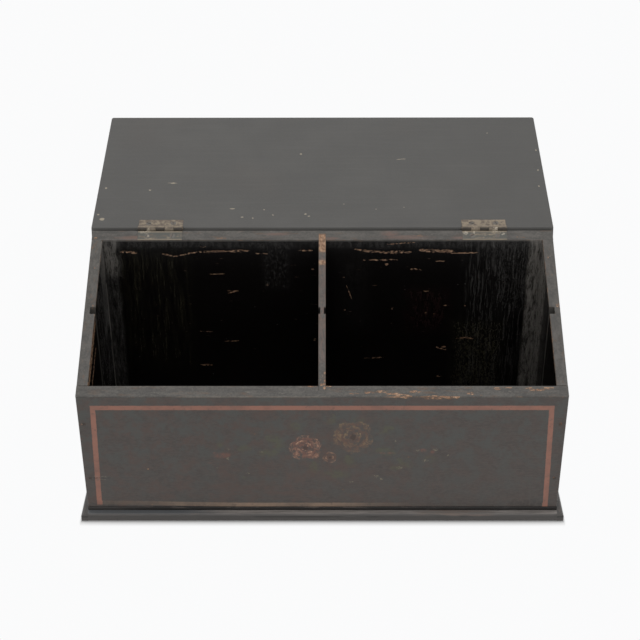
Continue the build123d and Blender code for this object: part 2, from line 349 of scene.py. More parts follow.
def make_bare_wood():
    """Bare wood with its grain along the board."""
    inputs = {"Place": "place", "Grain": "place", "Light": "colour", "Dark": "colour"}
    w, given, out = effect("Bare Wood", inputs, {"Color": "colour", "Height": "number"})
    grain = w.noise(w.move("MULTIPLY", given["Place"], given["Grain"]), 1.8, detail=4.0, rough=0.6)
    patch = w.noise(given["Place"], 420.0, detail=4.0, rough=0.70)
    level = w.step(w.sum("ADD", w.sum("MULTIPLY", grain, 0.45), w.sum("MULTIPLY", patch, 0.55)), 0.38, 0.62)
    w.feed(out["Color"], w.blend(level, given["Dark"], given["Light"]))
    w.feed(out["Height"], grain)


def make_chip():
    """One oval mark, strongest in the middle."""
    inputs = {"Place": "place", "Centre": "place", "Half": "place"}
    w, given, out = effect("Chip", inputs, {"Mark": "number"})
    away = w.move("DIVIDE", w.move("SUBTRACT", given["Place"], given["Centre"]), given["Half"])
    w.feed(out["Mark"], w.step(w.move("LENGTH", away), 1.25, 0.25))


def make_scratch():
    """One straight mark that tapers at both ends, strongest along its middle."""
    inputs = {"Place": "place", "Start": "place", "End": "place", "Width": "number"}
    w, given, out = effect("Scratch", inputs, {"Mark": "number"})
    run = w.move("SUBTRACT", given["End"], given["Start"])
    away = w.move("SUBTRACT", given["Place"], given["Start"])
    part = w.sum("DIVIDE", w.move("DOT_PRODUCT", away, run), w.move("DOT_PRODUCT", run, run))
    part = w.sum("MINIMUM", w.sum("MAXIMUM", part, 0.0), 1.0)
    off = w.move("LENGTH", w.move("SUBTRACT", away, w.scaled(run, part)))
    fall = w.sum("MULTIPLY", part, w.sum("SUBTRACT", 1.0, part))
    half = w.sum("MULTIPLY", w.sum("SQRT", fall), given["Width"])
    w.feed(out["Mark"], w.step(w.sum("DIVIDE", off, w.sum("ADD", half, 0.00001)), 1.35, 0.25))


def make_stain():
    """One patch with soft sides."""
    inputs = {"Place": "place", "Centre": "place", "Half": "place", "Soft": "number"}
    w, given, out = effect("Stain", inputs, {"Mask": "number"})
    away = w.move("ABSOLUTE", w.move("SUBTRACT", given["Place"], given["Centre"]))
    x, y, z = w.apart(w.move("SUBTRACT", away, given["Half"]))
    past = w.any_of(x, y, z)
    w.feed(out["Mask"], w.step(past, given["Soft"], w.sum("MULTIPLY", given["Soft"], -1.0)))


def make_petal():
    """One painted petal in the plane of the front board: a crescent that is palest at its outer rim."""
    inputs = {"Place": "place", "Centre": "place", "Ahead": "place", "Aside": "place"}
    w, given, out = effect("Petal", inputs, {"Mask": "number", "Tone": "number"})
    away = w.move("SUBTRACT", given["Place"], given["Centre"])
    ahead = w.move("DOT_PRODUCT", away, given["Ahead"])
    aside = w.sum("ABSOLUTE", w.move("DOT_PRODUCT", away, given["Aside"]))
    across = w.sum("MULTIPLY", aside, aside)
    rim = w.sum("SQRT", w.sum("MULTIPLY_ADD", ahead, ahead, across))
    behind = w.sum("ADD", ahead, 0.45)
    cup = w.sum("SQRT", w.sum("MULTIPLY_ADD", behind, behind, across))
    w.feed(out["Mask"], w.all_of(w.step(rim, 1.0, 0.86), w.step(cup, 0.78, 0.96)))
    w.feed(out["Tone"], w.step(w.sum("MULTIPLY_ADD", aside, -0.25, cup), 0.80, 1.22))


def make_specks():
    """Small scattered specks."""
    inputs = {"Place": "place", "Scale": "number", "Few": "number", "Size": "number"}
    w, given, out = effect("Specks", inputs, {"Mask": "number"})
    cell = w.add("ShaderNodeTexVoronoi")
    w.feed(cell.inputs["Vector"], given["Place"])
    w.feed(cell.inputs["Scale"], given["Scale"])
    drawn = w.tones(cell.outputs["Color"])
    chosen = w.sum("GREATER_THAN", drawn[0], given["Few"])
    size = w.sum("MULTIPLY", given["Size"], w.sum("ADD", 0.35, drawn[1]))
    w.feed(out["Mask"], w.all_of(chosen, w.step(w.sum("DIVIDE", cell.outputs["Distance"], size), 1.0, 0.5)))


def make_effects():
    """Builds every shader node group once."""
    for make in (
        make_ragged_place,
        make_arris_distance,
        make_worn_edge,
        make_broken_mark,
        make_paint_film,
        make_bare_wood,
        make_chip,
        make_scratch,
        make_stain,
        make_petal,
        make_specks,
    ):
        make()


def spot(a, b, flat, third=0.0):
    """Two numbers in millimetres as a place in metres, with the third along the axis flat."""
    values = [a * MM, b * MM]
    values.insert(flat, third)
    return values


class Coat:
    """One material under way: its colour, roughness and height so far."""

    def __init__(self, name, look, axis=ACROSS):
        self.material = bpy.data.materials.new(name)
        self.material.use_nodes = True
        self.material.node_tree.nodes.clear()
        self.w = Wiring(self.material.node_tree)
        self.look = look
        self.axis = axis
        self.shader = self.w.add("ShaderNodeBsdfPrincipled")
        output = self.w.add("ShaderNodeOutputMaterial")
        self.w.feed(output.inputs["Surface"], self.shader.outputs[0])
        self.place = self.w.add("ShaderNodeTexCoord").outputs["Object"]
        self.ragged = self.w.use("Ragged Place", place=self.place, scale=420.0, amount=1.6 * MM)["Place"]
        self.colour = (0.0, 0.0, 0.0)
        self.roughness = 0.4
        self.height = 0.5
        self.grain = self.stretch(*GRAIN)

    def stretch(self, slow, fast):
        """Factors that draw a pattern out along the board."""
        factors = [fast] * 3
        factors[self.axis] = slow
        return factors

    def drawn(self, slow, fast):
        return self.w.move("MULTIPLY", self.place, self.stretch(slow, fast))

    def clouds(self, scale, low, high, rough=0.7, detail=5.0, least=0.0, most=1.0):
        """Soft patches of one size all over the piece."""
        return self.w.step(self.w.noise(self.place, scale, detail, rough), low, high, low=least, high=most)

    def streaks(self, slow, fast, low, high, rough=0.75, detail=5.0):
        """Patches drawn out along the board."""
        return self.w.step(self.w.noise(self.drawn(slow, fast), 1.0, detail, rough), low, high)

    def film(self, paint, faded, cloud=0.5, streak=0.3, roughness=0.4, uneven=0.12):
        """Lays the first coat of brushed paint."""
        tones = {"paint": paint, "faded": faded, "cloud": cloud, "streak": streak}
        film = self.w.use("Paint Film", place=self.place, grain=self.grain, **tones)
        self.colour = film["Color"]
        self.roughness = self.w.sum("ADD", roughness, self.w.sum("MULTIPLY", film["Gloss"], uneven))
        self.height = self.w.sum("MULTIPLY", film["Height"], 0.35)

    def cover(self, mask, colour, roughness=None, sunk=0.0, share=1.0):
        """Lays a colour over what is there, where the mask says."""
        if share != 1.0:
            mask = self.w.sum("MULTIPLY", mask, share)
        self.colour = self.w.blend(mask, self.colour, colour)
        if roughness is not None:
            mixed = self.w.add("ShaderNodeMix", data_type="FLOAT")
            self.w.feed(mixed.inputs[0], mask)
            self.w.feed(mixed.inputs[2], self.roughness)
            self.w.feed(mixed.inputs[3], roughness)
            self.roughness = mixed.outputs[0]
        if sunk:
            self.height = self.w.sum("SUBTRACT", self.height, self.w.sum("MULTIPLY", mask, sunk))

    def tint(self, name, mask, share, roughness=None):
        """Lays one of the box's own colours over what is there."""
        self.cover(mask, tuple(getattr(self.look, name)), roughness, share=share)

    def bare(self, worn, where=1.0, light=1.0, share=1.0):
        """Rubs through to the wood inside a rim of thin brown paint."""
        pale = tuple(light * c for c in self.look.bare_light)
        old = tuple(light * c for c in self.look.bare_dark)
        wood = self.w.use("Bare Wood", place=self.place, grain=self.grain, light=pale, dark=old)
        rim = tuple(light * c for c in self.look.brown)
        thin = self.w.all_of(worn["Thin"], where)
        self.cover(thin, rim, roughness=0.55, sunk=0.25, share=share * 0.85)
        gone = self.w.all_of(worn["Gone"], where)
        self.cover(gone, wood["Color"], roughness=0.62, sunk=0.45, share=share)

    def arris(self, point, direction):
        """Distance from the arris through a point."""
        return self.w.use("Arris Distance", place=self.place, point=point, direction=direction)["Distance"]

    def worn(self, distance, reach=3.0, scale=160.0, amount=0.0):
        """Wear within a reach in millimetres of an arris."""
        amount += 0.6 * (self.look.wear - 0.5)
        edge = {"distance": distance, "reach": reach * MM, "scale": scale, "amount": amount}
        return self.w.use("Worn Edge", place=self.place, **edge)

    def flattened(self, place, flat):
        """The place without its part along the axis flat."""
        keep = [1.0] * 3
        keep[flat] = 0.0
        return self.w.move("MULTIPLY", place, keep)

    def marks(self, flat, chips=(), scratches=()):
        """Soft marks on the plane without the axis flat.

        Chips come by middle and half size, and scratches by their ends and width.
        """
        face = self.flattened(self.ragged, flat)
        total = 0.0
        for a, b, half_a, half_b in chips:
            half = spot(half_a, half_b, flat, 1.0)
            mark = self.w.use("Chip", place=face, centre=spot(a, b, flat), half=half)["Mark"]
            total = self.w.sum("MAXIMUM", total, mark)
        for a, b, c, d, width in scratches:
            ends = {"start": spot(a, b, flat), "end": spot(c, d, flat)}
            mark = self.w.use("Scratch", place=face, width=width * MM, **ends)["Mark"]
            total = self.w.sum("MAXIMUM", total, mark)
        return total

    def broken(self, mark, slow=420.0, fast=1000.0):
        """The mark with its paint broken along the grain."""
        return self.w.use("Broken Mark", place=self.drawn(slow, fast), mark=mark)

    def scars(self, flat, where, chips=(), scratches=(), light=1.0):
        """Bare wood in broken marks."""
        self.bare(self.broken(self.marks(flat, chips, scratches)), where, light)

    def specks(self, scale, few, size):
        return self.w.use("Specks", place=self.place, scale=scale, few=few, size=size)["Mask"]

    def stains(self, flat, where, rows):
        """Patches from rows of sides in millimetres, softness, colour, strength and pattern."""
        w = self.w
        wavy = w.use("Ragged Place", place=self.place, scale=60.0, amount=4.0 * MM)["Place"]
        patterns = {
            "speckled": ((760.0, 760.0, 300.0), 0.75, 0.44, 0.68),
            "smeared": ((230.0, 230.0, 90.0), 0.75, 0.38, 0.64),
            "upright": ((720.0, 720.0, 28.0), 0.70, 0.46, 0.68),
            "grained": (self.stretch(30.0, 500.0), 0.60, 0.40, 0.64),
            "hazy": ((330.0, 330.0, 60.0), 0.85, 0.30, 0.78),
        }
        made = {}
        face = self.flattened(wavy, flat)
        for low_a, high_a, low_b, high_b, soft, colour, strength, pattern in rows:
            if pattern not in made:
                drawn_out, rough, start, end = patterns[pattern]
                noise = w.noise(w.move("MULTIPLY", wavy, drawn_out), 1.0, detail=5.0, rough=rough)
                made[pattern] = w.step(noise, start, end)
            centre = spot((low_a + high_a) / 2, (low_b + high_b) / 2, flat)
            half = spot((high_a - low_a) / 2, (high_b - low_b) / 2, flat, 1.0)
            patch = w.use("Stain", place=face, centre=centre, half=half, soft=soft * MM)["Mask"]
            self.tint(colour, w.all_of(patch, where, made[pattern]), strength, roughness=0.5)

    def finish(self, *nodes, bump=0.30, depth=0.2, metallic=0.0):
        """Joins the colour, gloss and relief to the shader and paints these nodes with it."""
        w = self.w
        relief = w.add("ShaderNodeBump")
        w.feed(relief.inputs["Strength"], bump)
        w.feed(relief.inputs["Distance"], depth * MM)
        w.feed(relief.inputs["Height"], self.height)
        w.feed(self.shader.inputs["Base Color"], self.colour)
        w.feed(self.shader.inputs["Roughness"], self.roughness)
        w.feed(self.shader.inputs["Metallic"], metallic)
        w.feed(self.shader.inputs["Normal"], relief.outputs[0])
        for name in nodes:
            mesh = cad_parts[name].data
            mesh.materials.clear()
            mesh.materials.append(self.material)


def new_coat(context, name, axis=ACROSS):
    """Starts a material whose grain runs along an axis."""
    if "Paint Film" not in bpy.data.node_groups:
        make_effects()
    return Coat(name, context.scene.letter_box_paint, axis)


def paler(colour, factor):
    """The colour made paler, or darker by a factor below one."""
    return tuple(min(1.0, factor * c) for c in colour)


# Chips are given by middle and half size, scratches by their ends and width, all in millimetres
LID_SPECKS = (
    (-193.4, 88.3, 2.8, 2.3),
    (-197.3, 94.4, 1.2, 1.2),
    (-43.5, 93.6, 1.2, 0.9),
    (-51.4, 101.0, 1.0, 0.8),
    (-61.0, 89.5, 0.9, 0.9),
    (-135.0, 138.7, 3.2, 1.0),
    (-79.5, 102.4, 3.0, 0.9),
    (-70.5, 90.9, 1.8, 0.9),
    (-14.8, 94.9, 1.5, 1.2),
    (-11.7, 92.2, 1.3, 0.9),
    (-19.9, 181.4, 1.3, 1.3),
    (155.0, 213.5, 0.9, 0.8),
    (-194.8, 131.6, 1.3, 1.5),
    (-154.9, 128.7, 1.3, 1.0),
    (72.4, 104.5, 0.8, 0.6),
    (47.5, 101.7, 0.8, 0.6),
    (19.3, 108.7, 0.9, 0.6),
    (198.2, 187.2, 0.9, 1.4),
    (196.8, 157.2, 0.9, 1.4),
    (195.1, 133.9, 0.8, 1.2),
)
LID_SCRATCHES = ((68.0, 173.2, 77.0, 174.2, 0.9), (-140.0, 138.9, -131.0, 138.6, 0.8))

FRONT_SPECKS = (
    (-146.0, 51.6, 1.1, 1.0),
    (-144.8, 12.6, 1.2, 0.8),
    (-197.0, 98.6, 1.2, 1.4),
    (195.6, 42.0, 1.9, 1.7),
)
FRONT_CRACK = ((-196.0, 42.0, -177.0, 42.1, 1.2),)
FRONT_RUB = ((-192.0, 43.8, -180.0, 43.3, 2.2), (-190.0, 40.4, -182.0, 40.6, 1.6))
PINK_FLECKS = (
    (-83.0, 66.0, 9.0, 3.2),
    (-89.5, 68.5, 1.6, 1.2),
    (84.0, 71.0, 3.2, 2.4),
    (92.0, 69.5, 2.6, 2.2),
    (53.0, 68.5, 8.0, 1.2),
    (-94.0, 58.0, 3.0, 0.9),
)
PALE_FLECKS = (
    (-78.0, 72.7, 2.2, 1.4),
    (-78.5, 62.8, 1.8, 2.2),
    (-50.6, 70.2, 3.0, 1.4),
    (79.5, 71.5, 2.8, 1.3),
    (94.0, 72.0, 3.2, 2.0),
    (86.0, 60.5, 3.4, 2.0),
    (61.0, 81.0, 1.6, 1.3),
    (64.5, 53.0, 3.2, 1.9),
    (45.0, 43.5, 4.2, 1.9),
    (50.0, 41.0, 2.4, 1.9),
    (25.0, 38.0, 2.8, 1.3),
    (-62.0, 47.0, 2.2, 1.2),
    (-88.0, 53.0, 1.8, 0.9),
    (104.0, 66.0, 2.2, 1.2),
)
OLIVE_FLECKS = (
    (-85.0, 78.0, 3.5, 4.5),
    (-36.0, 77.0, 6.0, 7.0),
    (-22.0, 96.0, 6.0, 5.0),
    (30.0, 103.0, 6.0, 3.5),
    (62.0, 53.0, 6.0, 3.0),
    (90.0, 62.0, 6.0, 4.5),
    (12.0, 46.0, 12.0, 5.0),
    (-64.0, 42.5, 4.0, 2.0),
)
FRONT_STAINS = (
    (-12.0, 20.0, 50.0, 92.0, 8.0, "ruddy", 0.60, "smeared"),
    (12.0, 60.0, 62.0, 104.0, 9.0, "greenish", 0.50, "smeared"),
    (-84.0, -4.0, 20.0, 33.0, 7.0, "ruddy", 0.55, "grained"),
    (-30.0, 40.0, 36.0, 56.0, 8.0, "ruddy", 0.40, "smeared"),
    (160.0, 189.0, 9.0, 18.0, 3.0, "grime_and_painted_shade", 0.45, "smeared"),
    (-187.0, -174.0, 10.0, 17.0, 2.0, "grime_and_painted_shade", 0.35, "smeared"),
    # Painted shade along the foot of the front board, just above the bottom board
    (-200.0, 200.0, 9.0, 10.5, 0.4, "grime_and_painted_shade", 0.60, "grained"),
)
BEVEL_CHIPS = (
    (14.6, -64.6, 6.0, 1.2),
    (2.0, -65.4, 9.0, 0.9),
    (38.0, -70.6, 5.0, 1.2),
    (49.0, -69.8, 6.0, 1.6),
    (58.0, -71.8, 10.0, 1.7),
    (66.0, -73.2, 9.0, 1.7),
    (76.0, -70.0, 6.0, 1.5),
    (92.0, -74.0, 12.0, 1.7),
    (106.0, -74.2, 8.0, 1.4),
    (121.0, -71.4, 4.0, 1.5),
    (128.0, -72.6, 3.0, 1.0),
    (142.0, -67.2, 4.0, 1.5),
    (150.0, -66.4, 6.0, 1.1),
    (168.0, -67.0, 4.0, 1.2),
    (175.0, -68.4, 8.0, 1.5),
    (184.0, -67.0, 6.0, 1.2),
    (26.0, -71.6, 5.0, 0.9),
    (-10.0, -65.4, 4.0, 0.8),
)
BACK_SCARS = (
    (-176.5, 181.6, -161.0, 180.7, 3.0),
    (-140.0, 179.8, -127.0, 176.8, 1.8),
    (-130.0, 177.0, -108.0, 181.6, 1.7),
    (-111.0, 181.3, -79.0, 182.6, 2.3),
    (-82.0, 182.4, -63.0, 182.6, 3.2),
    (-58.5, 179.9, -45.8, 179.8, 1.2),
    (-21.0, 182.8, -8.0, 182.9, 1.6),
    (-107.0, 186.5, -101.0, 186.8, 1.3),
    (-98.7, 159.2, -85.5, 159.4, 1.0),
    (-83.4, 139.4, -75.0, 142.0, 1.0),
    (-84.5, 141.8, -74.0, 141.8, 1.0),
    (-111.0, 99.4, -99.0, 98.6, 1.1),
    (-89.0, 88.3, -75.5, 88.9, 1.3),
    (-112.0, 62.6, -101.0, 62.3, 1.8),
    (28.0, 184.2, 35.0, 183.5, 1.8),
    (33.0, 183.0, 56.0, 181.2, 3.2),
    (52.0, 180.8, 78.0, 181.4, 3.6),
    (84.0, 183.4, 101.0, 182.0, 3.8),
    (98.0, 182.8, 115.5, 181.6, 4.4),
    (112.0, 180.2, 137.0, 180.6, 1.8),
    (56.0, 189.0, 81.0, 191.0, 1.2),
    (40.5, 173.4, 66.0, 173.7, 1.8),
    (76.5, 164.4, 87.0, 163.2, 1.9),
    (99.0, 172.4, 107.0, 172.2, 1.3),
    (89.0, 141.6, 94.5, 141.4, 1.5),
    (120.0, 91.2, 129.0, 92.4, 1.8),
    (127.0, 92.4, 138.0, 91.4, 2.0),
    (103.0, 82.0, 114.0, 78.5, 2.0),
    (38.0, 69.8, 56.0, 70.6, 1.4),
    (103.0, 50.2, 109.5, 49.6, 1.4),
    (21.4, 147.5, 26.8, 131.5, 0.9),
)
BACK_CHIPS = (
    (56.5, 168.8, 1.7, 1.2),
    (36.8, 173.5, 1.3, 1.1),
    (-8.5, 163.8, 1.5, 1.5),
    (-48.7, 148.0, 1.2, 1.4),
    (-7.0, 90.2, 1.5, 1.6),
    (18.8, 156.0, 1.3, 0.9),
    (20.2, 122.0, 1.1, 1.3),
    (62.5, 123.5, 1.2, 1.3),
    (93.5, 118.6, 2.2, 0.7),
    (100.0, 117.3, 1.1, 1.0),
    (110.5, 126.5, 3.0, 0.8),
    (127.0, 126.4, 0.9, 0.9),
    (110.0, 82.4, 2.2, 1.2),
)
BACK_STAINS = (
    (-190.0, 190.0, 185.5, 198.0, 2.5, "dust", 0.10, "smeared"),
    (-177.0, -117.0, 60.0, 182.0, 9.0, "olive", 0.22, "upright"),
    (-52.0, -29.0, 144.0, 186.0, 4.0, "dust", 0.10, "speckled"),
    (126.0, 185.0, 40.0, 192.0, 9.0, "dust", 0.17, "upright"),
    (150.0, 185.0, 120.0, 192.0, 9.0, "dust", 0.12, "speckled"),
    (119.0, 160.0, 38.0, 108.0, 8.0, "olive", 0.55, "speckled"),
    (76.0, 112.0, 100.0, 143.0, 9.0, "plum", 0.30, "smeared"),
    (14.0, 40.0, 100.0, 172.0, 8.0, "dust", 0.05, "speckled"),
    (-192.0, -179.0, 14.0, 194.0, 2.0, "dust", 0.30, "hazy"),
    (-192.0, -180.0, 160.0, 192.0, 7.0, "chalk", 0.50, "hazy"),
    (180.5, 192.0, 18.0, 194.0, 2.0, "chalk", 0.60, "hazy"),
)
LEFT_STAINS = (
    (3.0, 66.0, 60.0, 200.0, 8.0, "dust", 0.36, "upright"),
    (40.0, 66.0, 110.0, 200.0, 8.0, "dust", 0.62, "hazy"),
    (52.0, 66.0, 158.0, 200.0, 8.0, "chalk", 0.55, "hazy"),
    (60.5, 66.0, 18.0, 150.0, 0.9, "chalk", 1.0, "hazy"),
)
RIGHT_STAINS = (
    (3.0, 66.0, 60.0, 200.0, 8.0, "dust", 0.20, "upright"),
    (30.0, 66.0, 18.0, 200.0, 8.0, "chalk", 0.55, "hazy"),
    (46.0, 66.0, 120.0, 200.0, 8.0, "chalk", 0.50, "upright"),
)
LEFT_SCARS = ((-2.0, 156.0, -66.0, 125.0, 11.0), (-14.0, 134.0, -66.0, 108.0, 5.0))
RIGHT_SCARS = ((-8.0, 157.0, -50.0, 136.6, 1.2),)
EDGE_CHIPS = {
    "left_side": ((-198.4, 57.0, 1.2, 1.6), (-195.0, 38.0, 1.0, 1.2), (-193.0, 4.0, 1.2, 1.4)),
    "right_side": ((198.4, 4.6, 2.2, 3.0), (196.0, 32.0, 0.9, 1.2), (194.0, 48.0, 0.8, 1.4)),
}
DIVIDER_STAINS = (
    (34.0, 66.0, 172.0, 200.0, 5.0, "dust", 0.50, "smeared"),
    (-60.0, 66.0, 100.0, 200.0, 9.0, "dust", 0.08, "upright"),
)
BACK_TOP_CHIPS = (
    (-196.6, 66.4, 1.8, 1.4),
    (84.9, 68.6, 4.0, 1.1),
    (-88.0, 66.2, 7.0, 0.9),
    (172.0, 67.0, 5.0, 0.9),
)
HANDLED_PLACES = (
    (-156.0, 66.6, 26.0, 2.2),
    (58.8, 70.2, 9.0, 3.2),
    (74.0, 67.0, 24.0, 2.2),
    (122.0, 66.4, 12.0, 1.6),
    (-40.0, 70.0, 12.0, 1.6),
    (8.0, 66.0, 8.0, 1.4),
)
# Rubbed lines across the box leaves, in millimetres from the box's middle
LEAF_AT_BARREL = (71.6, 73.2)
LEAF_AT_FRONT = (64.0, 65.6)
PALE_SMEARS = (
    (-154.6, 72.2, 6.5, 1.5),
    (151.0, 73.0, 3.4, 1.4),
    (156.2, 70.8, 2.6, 2.2),
    (124.5, 71.2, 2.8, 2.6),
    (131.9, 71.4, 0.9, 2.2),
)
SCREW_GLINT = ((-151.4, 68.6, 1.3, 1.0),)


def sloping_edge(coat, from_y, from_z, faded):
    """Paints the rubbed top edge of a board, and tells how far below it each place lies."""
    w, look = coat.w, coat.look
    _, y, z = w.apart(coat.place)
    line = w.sum("SUBTRACT", z, w.sum("MULTIPLY", slope_rise, w.sum("SUBTRACT", y, from_y)))
    top = w.step(line, from_z - 0.9 * MM, from_z - 0.4 * MM)
    edges = tuple(look.edges)
    fine = w.noise(coat.place, 620.0, detail=5.0, rough=0.80)
    broad = w.noise(coat.drawn(60.0, 240.0), 1.0, detail=5.0, rough=0.70)
    mottle = w.step(w.sum("ADD", w.sum("MULTIPLY", fine, 0.5), w.sum("MULTIPLY", broad, 0.5)), 0.40, 0.60)
    coat.cover(top, w.blend(mottle, paler(edges, 0.66), paler(edges, faded)), roughness=0.46)
    rubbed = coat.streaks(45.0, 230.0, low=0.54, high=0.68, rough=0.70)
    coat.tint("brown", w.all_of(top, rubbed), share=0.50, roughness=0.55)
    pale = coat.streaks(130.0, 420.0, low=0.60, high=0.70)
    coat.tint("rubbed", w.all_of(top, pale), share=0.65, roughness=0.55)
    return w.sum("SUBTRACT", from_z, line)


def paint_lid(context):
    """Satin black with fine grain, pale specks and rubbed arrises."""
    coat = new_coat(context, "lid_paint")
    look, w = coat.look, coat.w
    lid = tuple(look.lid)
    coat.film(lid, paler(lid, 1.32), cloud=0.62, streak=0.45, roughness=0.42, uneven=0.08)
    x, y, _ = w.apart(coat.place)
    fleck = coat.clouds(620.0, low=0.42, high=0.62, rough=0.8, detail=4.0)
    coat.cover(fleck, paler(lid, 1.42), share=0.30)
    # Painted shade: the lid is darker towards its right end
    coat.cover(w.step(x, 20 * MM, lid_high.x), paler(lid, 0.80), share=0.25)
    coat.tint("brown", coat.clouds(9.0, low=0.52, high=0.72, rough=0.5, detail=3.0), share=0.05)
    scattered = w.sum("MULTIPLY", coat.specks(scale=70.0, few=0.93, size=0.030), 0.7)
    specks = w.any_of(coat.marks(UP, LID_SPECKS, LID_SCRATCHES), scattered)
    coat.cover(w.step(specks, 0.25, 0.60), tuple(look.speck), roughness=0.6, sunk=0.2, share=0.85)
    sides = w.sum("SUBTRACT", lid_high.x, w.sum("ABSOLUTE", x))
    near, far = w.sum("SUBTRACT", y, lid_low.y), w.sum("SUBTRACT", lid_high.y, y)
    # Painted highlight: the edge by the hinges is painted paler where it lies in shade over the back board
    coat.cover(w.step(near, 1.8 * MM, 0.6 * MM), paler(lid, 1.7), roughness=0.5)
    for distance, reach in ((sides, 2.2), (near, 2.4), (far, 1.8)):
        rub = coat.worn(distance, reach, scale=190.0, amount=0.0)
        coat.tint("brown", rub["Thin"], share=0.45, roughness=0.55)
        coat.tint("rubbed", rub["Gone"], share=0.60, roughness=0.55)
    coat.finish("lid_panel", bump=0.22, depth=0.15)


# Where the lower run of the line begins to climb and where it ends, and how soft its sides are
STRAY_RUN = (-60 * MM, -190 * MM)
LINE_SOFTNESS = 0.35 * MM


def paint_border(coat, border):
    """The red line round the front board, with its slanting ends and its faded lower run."""
    w = coat.w
    x, _, z = w.apart(w.use("Ragged Place", place=coat.place, scale=300.0, amount=0.8 * MM)["Place"])
    top = front_top - border.drop
    reach_top = half_width - border.top
    reach_foot = half_width - border.foot
    lean = (reach_foot - reach_top) / (top - border.lift)
    reach = w.sum("MULTIPLY_ADD", w.sum("SUBTRACT", top, z), lean, reach_top)
    side = w.sum("SUBTRACT", w.sum("ABSOLUTE", x), reach)
    foot = w.step(x, *STRAY_RUN, border.lift, border.lift + border.stray)
    height = w.sum("SUBTRACT", z, foot)
    outside = w.any_of(side, w.sum("MULTIPLY", height, -1.0), w.sum("SUBTRACT", z, top))
    soft = LINE_SOFTNESS
    inner = w.step(w.sum("ADD", outside, border.width), -soft, soft)
    line = w.all_of(w.step(outside, soft, -soft), inner)
    upright = w.step(side, -border.width - 1 * MM, -border.width)
    low = w.step(height, border.width + 1.2 * MM, border.width)
    middle = w.all_of(w.step(x, -185 * MM, -62 * MM, low=0.15, high=0.9), w.step(x, 98 * MM, -45 * MM))
    patchy = coat.clouds(34.0, low=0.30, high=0.66, rough=0.6, detail=4.0, least=0.60, most=1.25)
    left_over = w.any_of(w.sum("SUBTRACT", 1.0, low), upright, w.sum("MULTIPLY", middle, patchy))
    gaps = coat.clouds(260.0, low=0.26, high=0.46, least=0.35)
    thin = coat.clouds(45.0, low=0.28, high=0.60, rough=0.6, detail=3.0, least=0.64)
    run = w.sum("MULTIPLY", low, w.sum("SUBTRACT", 1.0, upright))
    shown = w.all_of(line, gaps, thin, left_over)
    coat.cover(shown, w.blend(run, tuple(border.red), tuple(border.tan)), roughness=0.5)


def paint_rose(coat, strength, centre, size, light, dark, rings, twist):
    """A full-blown rose of painted petals laid in rings round its heart, from the outside in."""
    w = coat.w
    place = w.use("Ragged Place", place=coat.place, scale=190.0, amount=size * 0.22)["Place"]
    middle = Vector((centre[0] * MM, 0.0, centre[1] * MM))
    reach = w.move("DISTANCE", w.move("MULTIPLY", place, (1.0, 0.0, 1.0)), middle)
    rise = w.move("DOT_PRODUCT", w.move("SUBTRACT", place, middle), (0.0, 0.0, 1.0))
    swirl = w.sum("ARCTAN2", rise, w.move("DOT_PRODUCT", w.move("SUBTRACT", place, middle), ALONG))
    round_heart = w.together(w.sum("MULTIPLY", swirl, 1.1), w.sum("MULTIPLY", reach, 2300.0), 0.0)
    hairs = w.noise(round_heart, 1.0, detail=4.0, rough=0.7)
    brush = w.step(hairs, 0.38, 0.62)
    worn = coat.clouds(260.0, low=0.42, high=0.58, rough=0.80, least=0.04)
    body = w.step(reach, size * 0.50, size * 0.30)
    coat.cover(w.all_of(body, worn), dark, share=0.70 * strength)
    for ring, (petals, petal_size, away, tone) in enumerate(rings):
        for petal in range(petals):
            facing = twist + ring * 1.9 + petal * tau / petals + 0.22 * sin(petal * 2.3 + ring)
            ahead = Vector((cos(facing), 0.0, sin(facing)))
            aside = Vector((-sin(facing), 0.0, cos(facing)))
            radius = size * petal_size * (1.0 + 0.12 * sin(3.1 * petal + ring))
            offset = middle + ahead * size * away
            made = w.use("Petal", place=place, centre=offset, ahead=ahead / radius, aside=aside / radius)
            pale = w.all_of(made["Tone"], brush, tone * (0.72 + 0.28 * sin(facing)))
            coat.cover(w.all_of(made["Mask"], worn, strength), w.blend(pale, dark, light))
    heart = w.step(reach, size * 0.11, size * 0.05)
    coat.cover(w.sum("MULTIPLY", heart, 0.8), paler(dark, 0.35))


# Rings of petals by number, size, distance from the heart and tone, sizes as shares of the flower
FULL_ROSE = ((5, 0.29, 0.23, 0.55), (4, 0.24, 0.14, 0.75), (3, 0.16, 0.07, 1.0), (2, 0.10, 0.03, 1.0))
SMALL_BUD = ((3, 0.34, 0.16, 0.8), (2, 0.22, 0.06, 0.9))
# Flowers by middle in millimetres, how much is left, turn, rings, pale colour and shadow
FLOWERS = {
    "right": ((25.5, 85.2), 0.66, 0.9, FULL_ROSE, "tan", "tan_shadow"),
    "bud": ((6.4, 64.0), 0.8, 1.4, SMALL_BUD, "pink", "tan_shadow"),
    "left": ((-13.8, 73.8), 1.0, 1.7, FULL_ROSE, "pink", "pink_shadow"),
}
LEAF_WIDTH = 9.0
# Leaves by foot and reach in millimetres, and angle
LEAVES = (
    (-32.0, 80.0, 16.0, 160.0),
    (-36.0, 70.0, 17.0, 190.0),
    (44.0, 72.0, 18.0, -12.0),
    (46.0, 90.0, 14.0, 20.0),
    (6.0, 97.0, 12.0, 75.0),
    (20.0, 66.0, 14.0, -60.0),
    (62.0, 62.0, 16.0, -28.0),
    (-58.0, 72.0, 13.0, 175.0),
    (-8.0, 60.0, 13.0, -80.0),
)


